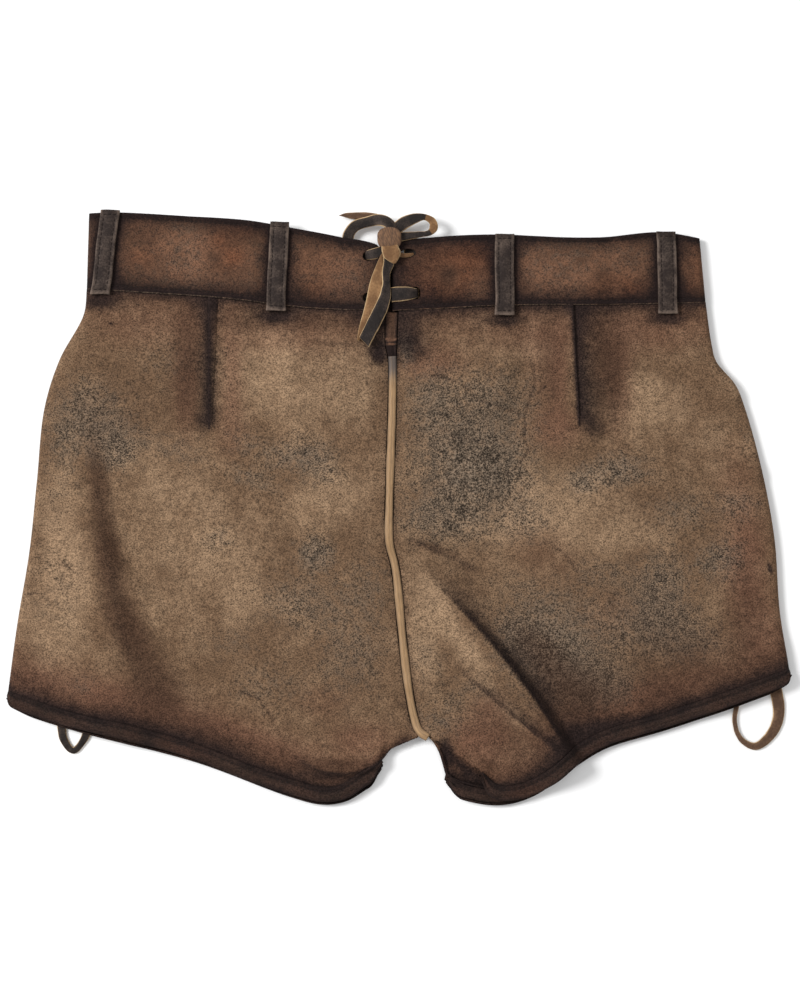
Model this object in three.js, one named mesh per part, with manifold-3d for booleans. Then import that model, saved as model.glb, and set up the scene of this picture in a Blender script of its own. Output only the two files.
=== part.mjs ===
// Short leather trousers (lederhosen), laid flat on a surface with the back uppermost.
// Millimetres. X runs from one side fold to the other, +Y from the hems to the waist, +Z up.
// The origin is on the surface, under the middle of the garment. "Left" is the side at -X.
// Each half is a flattened tube: a front panel on the surface, a back panel on it, a side seam at the
// outer fold and an inseam at the inner one. The waistband and hems are the same tube in double leather.
import * as THREE from "three";
import { mergeVertices } from "three/addons/utils/BufferGeometryUtils.js";
import Module from "manifold-3d";

const wasm = await Module();
wasm.setup();

const LEATHER = 1.6; // wall of the suede panels
const DOUBLE = 2.6; // two layers stitched and pressed together, in the waistband and hems
const SEAM = 0.4; // gap between the two layers at their seams
const PIECE_GAP = 1.2; // gap between a panel and the strip sewn to it
const SIDE_ROLL = 4.5; // how far in from the outer fold the leather is still turning
const FOLD_LEVEL = 3.3; // height of the side seam and inseam above the surface
const BACK_LEVEL = 7; // height of the back's outer face near its edges
const BACK_SAG = 1.2; // how far the back settles towards the front in the middle of a panel
const BAND_LEVEL = 8; // height of the outer face of the waistband and hems
const HEM_WIDTH = 10;
const HEM_CORNER = 7; // radius of the hem's corner at the side seam
const FRONT_HEM_DROP = 2; // how far the front hem shows below the back hem
const LACE = 1.4; // thickness of the cut lace
const BUTTON_RADIUS = 9;
const BUTTON = 2.2; // thickness of a horn button

const SUEDE = "#7d654e";
const BURNT = "#40332e";
const finish = (color, roughness, metalness = 0) =>
  new THREE.MeshStandardMaterial({ color, roughness, metalness });
const suede = () => finish(SUEDE, 0.95);
const burntSuede = () => finish(BURNT, 0.9);
const welt = () => finish("#a58355", 0.8);
const laceLeather = () => finish("#3b322c", 0.7);
const horn = () => finish("#6b4c33", 0.35);

// ---------- outline ----------
// The centre back seam, from the waist to the crotch, with the distance from its middle to the
// edge of each panel. The gusset fills the seam above the bartack and the welt below it.
const centreSeam = [
  { x: -4.5, y: 130, gap: 4.6 },
  { x: -4.8, y: 108, gap: 4.2 },
  { x: -4, y: 98, gap: 3.2 },
  { x: -4, y: 71, gap: 3.2 },
  { x: -6, y: 5, gap: 3.2 },
  { x: -6, y: -22, gap: 3.2 },
  { x: -2, y: -40, gap: 3.2 },
  { x: 3, y: -89, gap: 3.2 },
  { x: 7, y: -118, gap: 3.2 },
  { x: 11, y: -139, gap: 3.2 },
  { x: 16, y: -150, gap: 3.2 },
];

// Each half's edges: the waist seam from the centre out, the side fold from the waist down,
// the inner leg from the crotch down, the top of the hem from the inner leg out, and the upper
// edge of the waistband from the centre out.
const halves = {
  left: {
    sign: -1,
    bandTop: [
      { x: -13, y: 172 },
      { x: -35, y: 178 },
      { x: -71, y: 185 },
      { x: -98, y: 189.5 },
      { x: -131, y: 192 },
      { x: -185, y: 195 },
      { x: -204.5, y: 194.5 },
    ],
    bandEnd: -13,
    waist: [
      { x: -60, y: 132.5 },
      { x: -118, y: 139 },
    ],
    side: [
      { x: -206, y: 145 },
      { x: -208, y: 128 },
      { x: -224, y: 98 },
      { x: -234, y: 66 },
      { x: -239, y: 18 },
      { x: -244, y: -29 },
      { x: -252, y: -77 },
      { x: -258, y: -121 },
    ],
    inner: [
      { x: 0, y: -152.5 },
      { x: -8, y: -158 },
      { x: -12, y: -168 },
    ],
    innerFront: [
      { x: 7, y: -153.5 },
      { x: -2, y: -161 },
      { x: -12, y: -169.5 },
    ],
    hem: [
      { x: -24, y: -177.5 },
      { x: -36, y: -183.5 },
      { x: -50, y: -184.5 },
      { x: -70, y: -179.5 },
      { x: -98, y: -170 },
      { x: -131, y: -157 },
      { x: -178, y: -143.5 },
      { x: -213, y: -135.5 },
    ],
    hemFront: [
      { x: -24, y: -177.5 },
      { x: -36, y: -183.5 },
      { x: -50, y: -184.5 },
      { x: -70, y: -179.5 },
      { x: -131, y: -157 },
      { x: -213, y: -135.5 },
    ],
    innerLift: 0,
  },
  right: {
    sign: 1,
    bandTop: [
      { x: -4, y: 175 },
      { x: 27, y: 179 },
      { x: 67, y: 180.5 },
      { x: 107, y: 178.5 },
      { x: 133, y: 178.5 },
      { x: 173, y: 182 },
      { x: 199, y: 178 },
    ],
    bandEnd: -4,
    waist: [
      { x: 67, y: 134 },
      { x: 135, y: 134.5 },
    ],
    side: [
      { x: 203, y: 136 },
      { x: 207, y: 108 },
      { x: 210, y: 97 },
      { x: 223, y: 81 },
      { x: 229, y: 66 },
      { x: 240, y: 26 },
      { x: 248.5, y: -20 },
      { x: 252, y: -68 },
      { x: 258, y: -106 },
    ],
    inner: [
      { x: 37, y: -160 },
      { x: 55, y: -174 },
    ],
    innerFront: [
      { x: 26, y: -160 },
      { x: 31, y: -176 },
    ],
    hem: [
      { x: 66, y: -183 },
      { x: 80, y: -182.5 },
      { x: 97, y: -174 },
      { x: 112, y: -161 },
      { x: 133, y: -148.5 },
      { x: 175, y: -135.5 },
      { x: 218, y: -121 },
    ],
    hemFront: [
      { x: 42, y: -181 },
      { x: 66, y: -185 },
      { x: 85, y: -180 },
      { x: 112, y: -161 },
      { x: 133, y: -148.5 },
      { x: 175, y: -135.5 },
      { x: 218, y: -121 },
    ],
    innerLift: 1,
  },
};
const FRONT_DIP = 14; // the front waist seam lies this much nearer the hems at the centre
const frontDip = (x) => FRONT_DIP * Math.pow(1 - Math.min(1, Math.abs(x) / 206), 1.5);

const line = (points) =>
  new THREE.CatmullRomCurve3(
    points.map((p) => new THREE.Vector3(p.x, p.y, 0)),
    false,
    "centripetal",
  );
const smooth = (t) => {
  const c = Math.min(1, Math.max(0, t));
  return c * c * (3 - 2 * c);
};
const mix = (a, b, t) => a + (b - a) * t;

// One layer of one half as a four-sided patch: at(u, v) is a plan point, u from the centre or
// inner leg out to the side fold, v from the waist seam down to the top of the hem.
function patchOf(half, isFront) {
  const lower = (p) => ({ x: p.x, y: p.y - (isFront ? frontDip(p.x) : 0) });
  const seam = centreSeam.map((p) => ({ x: p.x + half.sign * (isFront ? SEAM : p.gap), y: p.y }));
  if (isFront) seam[0] = lower(seam[0]);
  const innerLeg = isFront ? half.innerFront : half.inner;
  const inner = line([...seam, ...innerLeg]);
  const side = line(half.side);
  const waist = line([{ x: seam[0].x, y: centreSeam[0].y }, ...half.waist, half.side[0]].map(lower));
  const bottom = line([innerLeg.at(-1), ...(isFront ? half.hemFront : half.hem), half.side.at(-1)]);
  const crotch = line(seam).getLength() / inner.getLength();
  const corners = [waist, bottom].map((edge) => [edge.getPointAt(0), edge.getPointAt(1)]);
  const at = (u, v) => {
    const [a, b, c, d] = [
      inner.getPointAt(v),
      side.getPointAt(v),
      waist.getPointAt(u),
      bottom.getPointAt(u),
    ];
    const blend = (k) =>
      mix(a[k], b[k], u) +
      mix(c[k], d[k], v) -
      mix(mix(corners[0][0][k], corners[0][1][k], u), mix(corners[1][0][k], corners[1][1][k], u), v);
    return { x: blend("x"), y: blend("y") };
  };
  const width = (v) => inner.getPointAt(v).distanceTo(side.getPointAt(v));
  return { half, isFront, crotch, at, width, waist, bottom };
}

// ---------- relief ----------
// Folds of the back. Each row is a crest from (x0, y0) to (x1, y1), bowed sideways by bow.
// It rises to height over soft on its gentle side and falls over steep on the other;
// side is +1 where the steep side is on the left of the way from start to end. start is the
// share of the height at (x0, y0), and fade the share of the length over which the end dies away.
const FOLD_COLUMNS = ["x0", "y0", "x1", "y1", "bow", "height", "soft", "steep", "side", "start", "fade"];
const foldRows = [
  // the big fold from the seat to the right hem, and the smaller one inside it
  [11, -40, 117, -172, 7, 11, 34, 8, 1, 0, 0],
  [28, -98, 114, -168, -2, 5, 15, 7, 1, 0, 0.1],
  // soft ridges below the seat
  [-1, -22, 47, -42, 2, 3, 14, 8, 1, 0.5, 0.5],
  [11, -116, 34, -119, 0, 2, 8, 8, 1, 0.6, 0.4],
  // the right leg's raised inner edge
  [20, -150, 62, -180, -2, 4, 14, 14, 1, 0.2, 0.2],
  // the two ridges down the left leg
  [-234, 15, -146, -95, 5, 2.6, 14, 10, 1, 0, 0.3],
  [-205, 52, -176, -112, -5, 3.4, 22, 13, 1, 0.1, 0.3],
  // the left leg's fold over its hem
  [-74, -156, -10, -166, -12, 4.4, 20, 6, -1, 0, 0.05],
  // the bulge beside the right pocket line, and the crease under it
  [214, 96, 222, 66, 2, 2, 12, 10, 1, 0.5, 0.4],
  [226, 20, 246, 26, 0, 1.6, 10, 8, -1, 0.2, 0.2],
];
const folds = foldRows.map((row) => Object.fromEntries(FOLD_COLUMNS.map((column, k) => [column, row[k]])));

// How much one fold lifts the leather at a plan point.
function foldHeight(fold, x, y) {
  const length = Math.hypot(fold.x1 - fold.x0, fold.y1 - fold.y0);
  const dx = (fold.x1 - fold.x0) / length;
  const dy = (fold.y1 - fold.y0) / length;
  const along = ((x - fold.x0) * dx + (y - fold.y0) * dy) / length;
  const inside = Math.min(1, Math.max(0, along));
  const across = (y - fold.y0) * dx - (x - fold.x0) * dy - fold.bow * 4 * inside * (1 - inside);
  const reach = across * fold.side > 0 ? fold.steep : fold.soft;
  const profile = 1 - smooth(Math.abs(across) / reach);
  const beyond = Math.max(0, Math.abs(along - 0.5) - 0.5) * length;
  const rise = mix(fold.start, 1, smooth(inside / 0.55));
  const fall = fold.fade ? 1 - smooth((inside - 1 + fold.fade) / fold.fade) : 1;
  return fold.height * profile * rise * fall * (1 - smooth(beyond / 14));
}

// The pieces on the outside of the front, which hold it off the surface.
const FLAP = { x: -3, top: 110, bottom: -6, halfTop: 66, halfBottom: 48 };
const buttons = [
  { name: "button_waist", x: -4, y: 137 },
  { name: "button_flap_left", x: -50, y: 94 },
  { name: "button_flap_right", x: 44, y: 94 },
];
const FRONT_LOOP = 1.4; // thickness of a belt loop against the surface
const frontLoops = [
  { name: "loop_front_left", x: -112, y: 160 },
  { name: "loop_front_right", x: 112, y: 152 },
];
const FRONT_LOOP_LENGTH = 50;
const legTies = [
  { x: -206, y: -141, reach: 30 },
  { x: 238, y: -120, reach: 28 },
];
// A lift that is full within reach of a point and gone at reach + fade.
const liftAt = (p, x, y, height, reach, fade) =>
  height * (1 - smooth((Math.hypot(x - p.x, y - p.y) - reach) / fade));
const most = (rows, value) => rows.reduce((high, row) => Math.max(high, value(row)), 0);
const flapLift = (x, y) => most(buttons, (b) => liftAt(b, x, y, BUTTON + 0.6, 15, 15));
function frontLift(x, y) {
  const half = mix(FLAP.halfBottom, FLAP.halfTop, (y - FLAP.bottom) / (FLAP.top - FLAP.bottom));
  const outside = Math.max(Math.abs(x - FLAP.x) - half, FLAP.bottom - y, y - FLAP.top, 0);
  const overFlap = (LEATHER + 1) * (1 - smooth((outside - 6) / 18));
  const overButtons = most(buttons, (b) => liftAt(b, x, y, BUTTON + 0.8, 24, 22));
  const overTies = most(legTies, (t) => liftAt(t, x, y, LACE + 0.6, t.reach, 20));
  const straight = FRONT_LOOP_LENGTH / 2 - 4;
  const nearest = (l) => Math.min(l.y + straight, Math.max(l.y - straight, y));
  const overLoops = most(frontLoops, (l) =>
    liftAt({ x: l.x, y: nearest(l) }, x, y, FRONT_LOOP + 0.6, 14, 16),
  );
  return Math.max(overFlap + overButtons, overTies, overLoops);
}

// Height at which a piece rests on the back, away from its edges.
const backRelief = (x, y) =>
  folds.reduce((sum, f) => sum + foldHeight(f, x, y), 0) + frontLift(x, y);

const rolled = (distance) => {
  const rest = 1 - Math.min(1, Math.max(0, distance) / SIDE_ROLL);
  return Math.sqrt(Math.max(0, 1 - rest * rest));
};

// How far the leather has turned at (u, v): 0 on the side fold or inseam, 1 where it lies flat.
function rollAt(patch, u, v) {
  const width = patch.width(Math.min(1, v));
  const lifted = patch.half.innerLift && !patch.isFront;
  const legTurn = lifted ? 0 : smooth((v - patch.crotch) / 0.05);
  return rolled((1 - u) * width) * mix(1, rolled(u * width), legTurn);
}

// Height of the outer face at (u, v) of a patch, for a back that lies at level.
function heightOn(patch, u, v, x, y, level, sag = 0) {
  const roll = rollAt(patch, u, v);
  const fold = FOLD_LEVEL + 0.6 * frontLift(x, y);
  if (patch.isFront) return mix(fold - SEAM / 2, frontLift(x, y), roll);
  const width = patch.width(v);
  const middle = smooth(((1 - u) * width) / 50) * smooth((u * width) / 50);
  const seamDip = v < patch.crotch ? 1 - smooth((u * width) / 8) : 0;
  const top = level - sag * middle - 0.8 * seamDip + backRelief(x, y);
  return mix(fold + SEAM / 2, top, roll);
}

// ---------- solids ----------
// The closed mesh between two grids of points, outer over inner.
function closed(outer, inner, facing) {
  const rows = outer.length;
  const cols = outer[0].length;
  const count = rows * cols;
  const index = [];
  const quad = (a, b, c, d) =>
    facing > 0 ? index.push(a, b, c, a, c, d) : index.push(a, c, b, a, d, c);
  for (let r = 0; r + 1 < rows; r++)
    for (let c = 0; c + 1 < cols; c++) {
      const a = r * cols + c;
      quad(a, a + 1, a + cols + 1, a + cols);
      quad(count + a, count + a + cols, count + a + cols + 1, count + a + 1);
    }
  const rim = [];
  for (let c = 0; c + 1 < cols; c++) rim.push(c);
  for (let r = 0; r + 1 < rows; r++) rim.push(r * cols + cols - 1);
  for (let c = cols - 1; c > 0; c--) rim.push((rows - 1) * cols + c);
  for (let r = rows - 1; r > 0; r--) rim.push(r * cols);
  rim.forEach((a, i) => {
    const b = rim[(i + 1) % rim.length];
    quad(a, a + count, b + count, b);
  });
  const geometry = new THREE.BufferGeometry().setFromPoints([...outer.flat(), ...inner.flat()]);
  geometry.setIndex(index);
  geometry.computeVertexNormals();
  return geometry;
}

// A wall of the given thickness inside a grid of outer points. facing is +1 where the grid's own
// normal points out of the garment. rollOf tells how far a point has turned over the side fold.
// Cut edges are square to the surface the garment lies on, so that neighbours keep their gap.
function wall(grid, thickness, facing, rollOf = () => 1) {
  const lastRow = grid.length - 1;
  const lastCol = grid[0].length - 1;
  const near = (r, c) => grid[Math.min(lastRow, Math.max(0, r))][Math.min(lastCol, Math.max(0, c))];
  const normal = new THREE.Vector3();
  const inner = grid.map((row, r) =>
    row.map((point, c) => {
      const across = near(r, c + 1).clone().sub(near(r, c - 1));
      const down = near(r + 1, c).clone().sub(near(r - 1, c));
      normal.crossVectors(across, down).multiplyScalar(facing);
      const roll = rollOf(r, c);
      const cutEdge = r === 0 || r === lastRow || c === 0;
      normal.z *= roll;
      if (cutEdge) {
        normal.x *= 1 - roll;
        normal.y *= 1 - roll;
      }
      normal.normalize();
      return point.clone().addScaledVector(normal, -thickness);
    }),
  );
  return closed(grid, inner, facing);
}

// A slab of constant thickness under a grid of upper points.
function slab(grid, thickness, facing) {
  const lower = grid.map((row) => row.map((p) => new THREE.Vector3(p.x, p.y, p.z - thickness)));
  return closed(grid, lower, facing);
}

// One geometry less another.
function cut(body, tool) {
  const solid = (geometry) => {
    const bare = new THREE.BufferGeometry();
    const source = geometry.index ? geometry.toNonIndexed() : geometry;
    bare.setAttribute("position", source.getAttribute("position"));
    const merged = mergeVertices(bare, 1e-3);
    return new wasm.Manifold(
      new wasm.Mesh({
        numProp: 3,
        vertProperties: merged.attributes.position.array,
        triVerts: new Uint32Array(merged.index.array),
      }),
    );
  };
  const mesh = solid(body).subtract(solid(tool)).getMesh();
  const geometry = new THREE.BufferGeometry();
  geometry.setAttribute("position", new THREE.BufferAttribute(mesh.vertProperties, 3));
  geometry.setIndex(new THREE.BufferAttribute(mesh.triVerts, 1));
  geometry.computeVertexNormals();
  return geometry;
}

const garment = new THREE.Group();
function add(name, geometry, material) {
  const mesh = new THREE.Mesh(geometry, material);
  mesh.name = name;
  garment.add(mesh);
}

// Places between 0 and 1: the given distances from each end, and count even steps between them.
function stations(count, length, fromStart, fromEnd) {
  const head = [0, ...fromStart.map((d) => d / length)];
  const tail = [...fromEnd.map((d) => 1 - d / length).reverse(), 1];
  const middle = [];
  for (let i = 1; i < count; i++) middle.push(mix(head.at(-1), tail[0], i / count));
  return [...head, ...middle, ...tail];
}

// ---------- panels ----------
const panelGrid = {
  back_left: { cols: 13, rows: 17, legRows: 2 },
  back_right: { cols: 19, rows: 22, legRows: 5 },
  front_left: { cols: 11, rows: 10, legRows: 2 },
  front_right: { cols: 11, rows: 10, legRows: 3 },
};
const patches = {};
for (const [side, half] of Object.entries(halves))
  for (const layer of ["back", "front"]) {
    const patch = patchOf(half, layer === "front");
    const { cols, rows, legRows } = panelGrid[`${layer}_${side}`];
    const us = stations(cols, patch.width(0.5), [2, 5], [0.5, 1.8, 4.5]);
    const legs = stations(legRows, 1, [], []).slice(1).map((t) => mix(patch.crotch, 1, t));
    const vs = [...stations(rows, 1, [], []).map((t) => patch.crotch * t), ...legs];
    const grid = vs.map((v) =>
      us.map((u) => {
        const { x, y } = patch.at(u, v);
        return new THREE.Vector3(x, y, heightOn(patch, u, v, x, y, BACK_LEVEL, BACK_SAG));
      }),
    );
    // The grid runs out from the centre and down, so on the left half its own normal is up.
    const facing = patch.isFront ? half.sign : -half.sign;
    add(`${layer}_${side}`, wall(grid, LEATHER, facing, (r, c) => rollAt(patch, us[c], vs[r])), suede());
    patches[`${layer}_${side}`] = { ...patch, us };
  }

// ---------- waistband and hems ----------
// A strip of double leather that runs out along the back, round the side fold and back along the
// front. edge(patch, u, share) is a plan point, share running across the strip.
function strip(side, shares, edge, v) {
  const back = patches[`back_${side}`];
  const front = patches[`front_${side}`];
  const way = [...back.us.map((u) => [back, u]), ...front.us.map((u) => [front, u]).reverse()];
  const grid = shares.map((share) =>
    way.map(([patch, u]) => {
      const { x, y } = edge(patch, u, share);
      return new THREE.Vector3(x, y, heightOn(patch, u, v, x, y, BAND_LEVEL));
    }),
  );
  const facing = halves[side].sign * (v ? -1 : 1);
  return wall(grid, DOUBLE, facing, (r, c) => rollAt(...way[c], v));
}

// The lacing holes in the back of the waistband.
const FRONT_MEETING = -3; // where the two halves of the waistband meet in front
const eyelets = {
  left: [
    { x: -20, y: 166, rx: 3.6, ry: 3.3 },
    { x: -20, y: 138.5, rx: 3.6, ry: 3.2 },
  ],
  right: [
    { x: 6.5, y: 168, rx: 5, ry: 2.8 },
    { x: 11.5, y: 141.5, rx: 3, ry: 4.2 },
  ],
};
const EYELET_SIDES = 12;

for (const [side, half] of Object.entries(halves)) {
  const top = line(half.bandTop);
  let band = strip(
    side,
    [0, 0.1, 0.5, 0.9, 1],
    (patch, u, share) => {
      const low = patches[`back_${side}`].waist.getPointAt(u);
      const high = top.getPointAt(u);
      const end = patch.isFront ? FRONT_MEETING + half.sign * SEAM : half.bandEnd;
      const near = 1 - Math.min(1, u * 8);
      const x = mix(low.x, high.x, share) + near * (end - mix(low.x, high.x, share));
      const y = mix(low.y + PIECE_GAP, high.y, share);
      return { x, y: patch.isFront ? y - frontDip(x) : y };
    },
    0,
  );
  for (const hole of eyelets[side]) {
    const punch = new THREE.CylinderGeometry(1, 1, 12, EYELET_SIDES).rotateX(Math.PI / 2);
    punch.scale(hole.rx, hole.ry, 1);
    punch.translate(hole.x, hole.y, BAND_LEVEL - DOUBLE + 5 + backRelief(hole.x, hole.y));
    band = cut(band, punch);
  }
  add(`waistband_${side}`, band, burntSuede());
  const hem = strip(
    side,
    [0, 0.3, 0.75, 1],
    (patch, u, share) => {
      const width = patch.width(1);
      const p = patch.bottom.getPointAt(u);
      const way = patch.bottom.getTangentAt(u);
      const corner = 1 - Math.min(1, ((1 - u) * width) / HEM_CORNER);
      const reach = PIECE_GAP + share * HEM_WIDTH * Math.sqrt(Math.max(0.12, 1 - corner * corner));
      const drop = patch.isFront ? FRONT_HEM_DROP * share * smooth(((1 - u) * width) / 20) : 0;
      const x = p.x + half.sign * way.y * reach;
      return { x, y: p.y - half.sign * way.x * reach - drop };
    },
    1,
  );
  add(`hem_${side}`, hem, burntSuede());
}

// ---------- centre back seam ----------
const seamLine = new THREE.CatmullRomCurve3(
  centreSeam.map((p) => new THREE.Vector3(p.x, p.y, p.gap)),
  false,
  "centripetal",
);

// A bar along the seam between two places on it. across gives the rows of its section: side is a
// share of the half width, up the height over the panels' edges there.
function seamBar(from, to, steps, clearance, across, thickness) {
  const grid = [];
  for (let i = 0; i <= steps; i++) {
    const t = mix(from, to, i / steps);
    const p = seamLine.getPointAt(t);
    const way = seamLine.getTangentAt(t);
    const reach = p.z - clearance;
    grid.push(
      across.map(({ side, up }) => {
        const x = p.x - way.y * reach * side;
        const y = p.y + way.x * reach * side;
        return new THREE.Vector3(x, y, BACK_LEVEL - 0.8 + backRelief(p.x, p.y) + up);
      }),
    );
  }
  return slab(grid, thickness, -1);
}
const WELT_SECTION = [
  { side: -1, up: -0.2 },
  { side: -0.6, up: 0.7 },
  { side: 0.1, up: 1.1 },
  { side: 0.7, up: 0.6 },
  { side: 1, up: -0.2 },
];
const GUSSET_SECTION = [
  { side: -1, up: -0.6 },
  { side: 0, up: -0.9 },
  { side: 1, up: -0.6 },
];
add("gusset_back", seamBar(0.006, 0.076, 4, 0.7, GUSSET_SECTION, 1.2), finish("#5d4334", 0.9));
add("welt_back", seamBar(0.105, 0.965, 30, 1, WELT_SECTION, 1.9), welt());

// ---------- darts ----------
// The folded intake of each dart, which lies on its panel with the fold away from the centre.
const darts = [
  { side: "left", x0: -125.5, y0: 136, x1: -125.5, y1: 52 },
  { side: "right", x0: 115.5, y0: 131, x1: 120, y1: 54 },
];
const DART_WIDTH = 7;
for (const dart of darts) {
  const steps = 8;
  const inward = -halves[dart.side].sign;
  const grid = [];
  for (let i = 0; i <= steps; i++) {
    const t = i / steps;
    const wide = mix(DART_WIDTH, 2.5, t);
    const high = mix(1.5, 0.7, t);
    const x = mix(dart.x0, dart.x1, t);
    const y = mix(dart.y0, dart.y1, t);
    const base = BACK_LEVEL - BACK_SAG + 0.85 + backRelief(x, y);
    grid.push(
      [
        { in: 0, up: high * 0.6 },
        { in: 0.12, up: high },
        { in: 1, up: 0.5 },
      ].map((row) => new THREE.Vector3(x + inward * wide * row.in, y, base + row.up)),
    );
  }
  add(`dart_${dart.side}`, slab(grid, 0.5, inward > 0 ? -1 : 1), suede());
}

// ---------- belt loops ----------
const LOOP_WIDTH = 12.5;
const LOOP = 1.5; // thickness
const backLoops = [
  { name: "loop_back_1", x0: -190, y0: 196.5, x1: -196.5, y1: 141 },
  { name: "loop_back_2", x0: -78.5, y0: 188.5, x1: -81, y1: 130 },
  { name: "loop_back_3", x0: 70, y0: 180.5, x1: 70, y1: 127 },
  { name: "loop_back_4", x0: 176.5, y0: 182, x1: 177.5, y1: 128 },
];
const LOOP_SECTION = [
  { side: -1, up: -0.35 },
  { side: -0.7, up: 0 },
  { side: 0.7, up: 0 },
  { side: 1, up: -0.35 },
];
function loopSlab(loop, heightAt) {
  const grid = [0, 0.08, 0.2, 0.5, 0.8, 0.92, 1].map((t) => {
    const x = mix(loop.x0, loop.x1, t);
    const y = mix(loop.y0, loop.y1, t);
    return LOOP_SECTION.map(
      ({ side, up }) => new THREE.Vector3(x + (side * LOOP_WIDTH) / 2, y, heightAt(x, y, t) + up),
    );
  });
  return slab(grid, LOOP, -1);
}
for (const loop of backLoops) {
  const standOff = (t) => 0.75 + 0.5 * Math.sin(Math.PI * t);
  const heightAt = (x, y, t) => BAND_LEVEL + backRelief(x, y) + standOff(t) + LOOP;
  add(loop.name, loopSlab(loop, heightAt), laceLeather());
}
for (const loop of frontLoops) {
  const reach = FRONT_LOOP_LENGTH / 2;
  const grid = [-1, 1].map((end) =>
    [-1, 1].map(
      (side) => new THREE.Vector3(loop.x + (side * LOOP_WIDTH) / 2, loop.y - end * reach, FRONT_LOOP),
    ),
  );
  add(loop.name, slab(grid, FRONT_LOOP, -1), laceLeather());
}

// ---------- front flap ----------
{
  const grid = stations(8, 1, [0.02], [0.02]).map((down) => {
    const y = mix(FLAP.top, FLAP.bottom, down);
    const reach = mix(FLAP.halfTop, FLAP.halfBottom, down) * Math.sqrt(1 - 0.12 * down ** 8);
    return stations(8, 1, [], []).map((along) => {
      const x = FLAP.x + mix(-reach, reach, along);
      return new THREE.Vector3(x, y, LEATHER + flapLift(x, y));
    });
  });
  add("front_flap", slab(grid, LEATHER, -1), suede());
}
for (const button of buttons) {
  const section = [
    [0, 0],
    [BUTTON_RADIUS - 0.7, 0],
    [BUTTON_RADIUS, 0.7],
    [BUTTON_RADIUS, 1.5],
    [BUTTON_RADIUS - 1, BUTTON],
    [0, BUTTON],
  ].map(([r, z]) => new THREE.Vector2(r, z));
  const disc = new THREE.LatheGeometry(section, 18).rotateX(Math.PI / 2);
  add(button.name, disc.translate(button.x, button.y, 0), horn());
}

// ---------- laces ----------
// A flat lace through rows of its own centre line: up is the height of its underside over the
// waistband's face (or over the surface, for a leg lace), wide its width as it lies.
function lace(name, rows, steps, baseAt) {
  const way = new THREE.CatmullRomCurve3(
    rows.map((r) => new THREE.Vector3(r.x, r.y, baseAt(r.x, r.y) + r.up)),
    false,
    "centripetal",
  );
  const grid = [];
  for (let i = 0; i <= steps; i++) {
    const t = i / steps;
    const place = t * (rows.length - 1);
    const k = Math.min(rows.length - 2, Math.floor(place));
    const wide = mix(rows[k].wide, rows[k + 1].wide, place - k);
    const p = way.getPoint(t);
    const ahead = way.getTangent(t).setZ(0).normalize();
    grid.push(
      [-1, 0, 1].map(
        (side) =>
          new THREE.Vector3(
            p.x - (ahead.y * side * wide) / 2,
            p.y + (ahead.x * side * wide) / 2,
            p.z + LACE + (side ? -0.15 : 0),
          ),
      ),
    );
  }
  add(name, slab(grid, LACE, -1), laceLeather());
}
const onBand = (x, y) => BAND_LEVEL + backRelief(x, y);
const onSurface = () => 0;

lace(
  "lace_arch",
  [
    { x: -33, y: 175, up: -4.2, wide: 7 },
    { x: -32.5, y: 182, up: -3.8, wide: 7.5 },
    { x: -28, y: 187, up: -2, wide: 7 },
    { x: -20, y: 189, up: 0, wide: 7 },
    { x: -13, y: 189.5, up: 1, wide: 7.5 },
    { x: -8, y: 190, up: 1, wide: 7 },
  ],
  12,
  onBand,
);
lace(
  "lace_tip",
  [
    { x: -38, y: 191.5, up: -5.5, wide: 1.5 },
    { x: -30, y: 192.6, up: -5.5, wide: 4.5 },
    { x: -22, y: 193.4, up: -5, wide: 4 },
    { x: -14, y: 193, up: -4, wide: 3 },
  ],
  6,
  onBand,
);
lace(
  "lace_bow",
  [
    { x: 0, y: 189, up: 1, wide: 6 },
    { x: 8, y: 191, up: 1.6, wide: 5.5 },
    { x: 17, y: 192, up: 2, wide: 4.2 },
    { x: 23, y: 189, up: 2, wide: 5 },
    { x: 23.8, y: 184, up: 1.8, wide: 5 },
    { x: 17, y: 180, up: 1.4, wide: 4.6 },
    { x: 5.5, y: 178.6, up: 1, wide: 5 },
  ],
  18,
  onBand,
);
lace(
  "lace_tail_dark",
  [
    { x: -6.5, y: 168.5, up: 2.3, wide: 8 },
    { x: -8, y: 156, up: 2.3, wide: 7 },
    { x: -8, y: 147, up: 2.3, wide: 5.6 },
    { x: -8.6, y: 136, up: 2.2, wide: 7.5 },
    { x: -13, y: 124, up: 1.7, wide: 9 },
    { x: -18, y: 115, up: 1.5, wide: 9.4 },
    { x: -22, y: 107.5, up: 1.6, wide: 8.6 },
  ],
  14,
  onBand,
);
lace(
  "lace_tail_pale",
  [
    { x: -12, y: 166, up: 0.4, wide: 3 },
    { x: -13.5, y: 158, up: 0.4, wide: 5 },
    { x: -15, y: 147, up: 0.4, wide: 9 },
    { x: -17.5, y: 136, up: 0.4, wide: 8.8 },
    { x: -21, y: 126, up: -0.5, wide: 8 },
    { x: -24.5, y: 116, up: -0.5, wide: 6 },
    { x: -27, y: 109.5, up: -0.4, wide: 2 },
  ],
  14,
  onBand,
);
lace(
  "lace_cross_lower",
  [
    { x: -3.5, y: 141, up: 0.4, wide: 9.5 },
    { x: 2, y: 141, up: 0.5, wide: 9.5 },
    { x: 9, y: 141.5, up: 0.4, wide: 8.4 },
  ],
  4,
  onBand,
);
lace(
  "lace_cross_upper",
  [
    { x: -2.5, y: 168, up: 0.4, wide: 2.6 },
    { x: 4, y: 168.3, up: 0.5, wide: 2.4 },
    { x: 8.5, y: 168, up: 0.4, wide: 2 },
  ],
  4,
  onBand,
);
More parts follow.
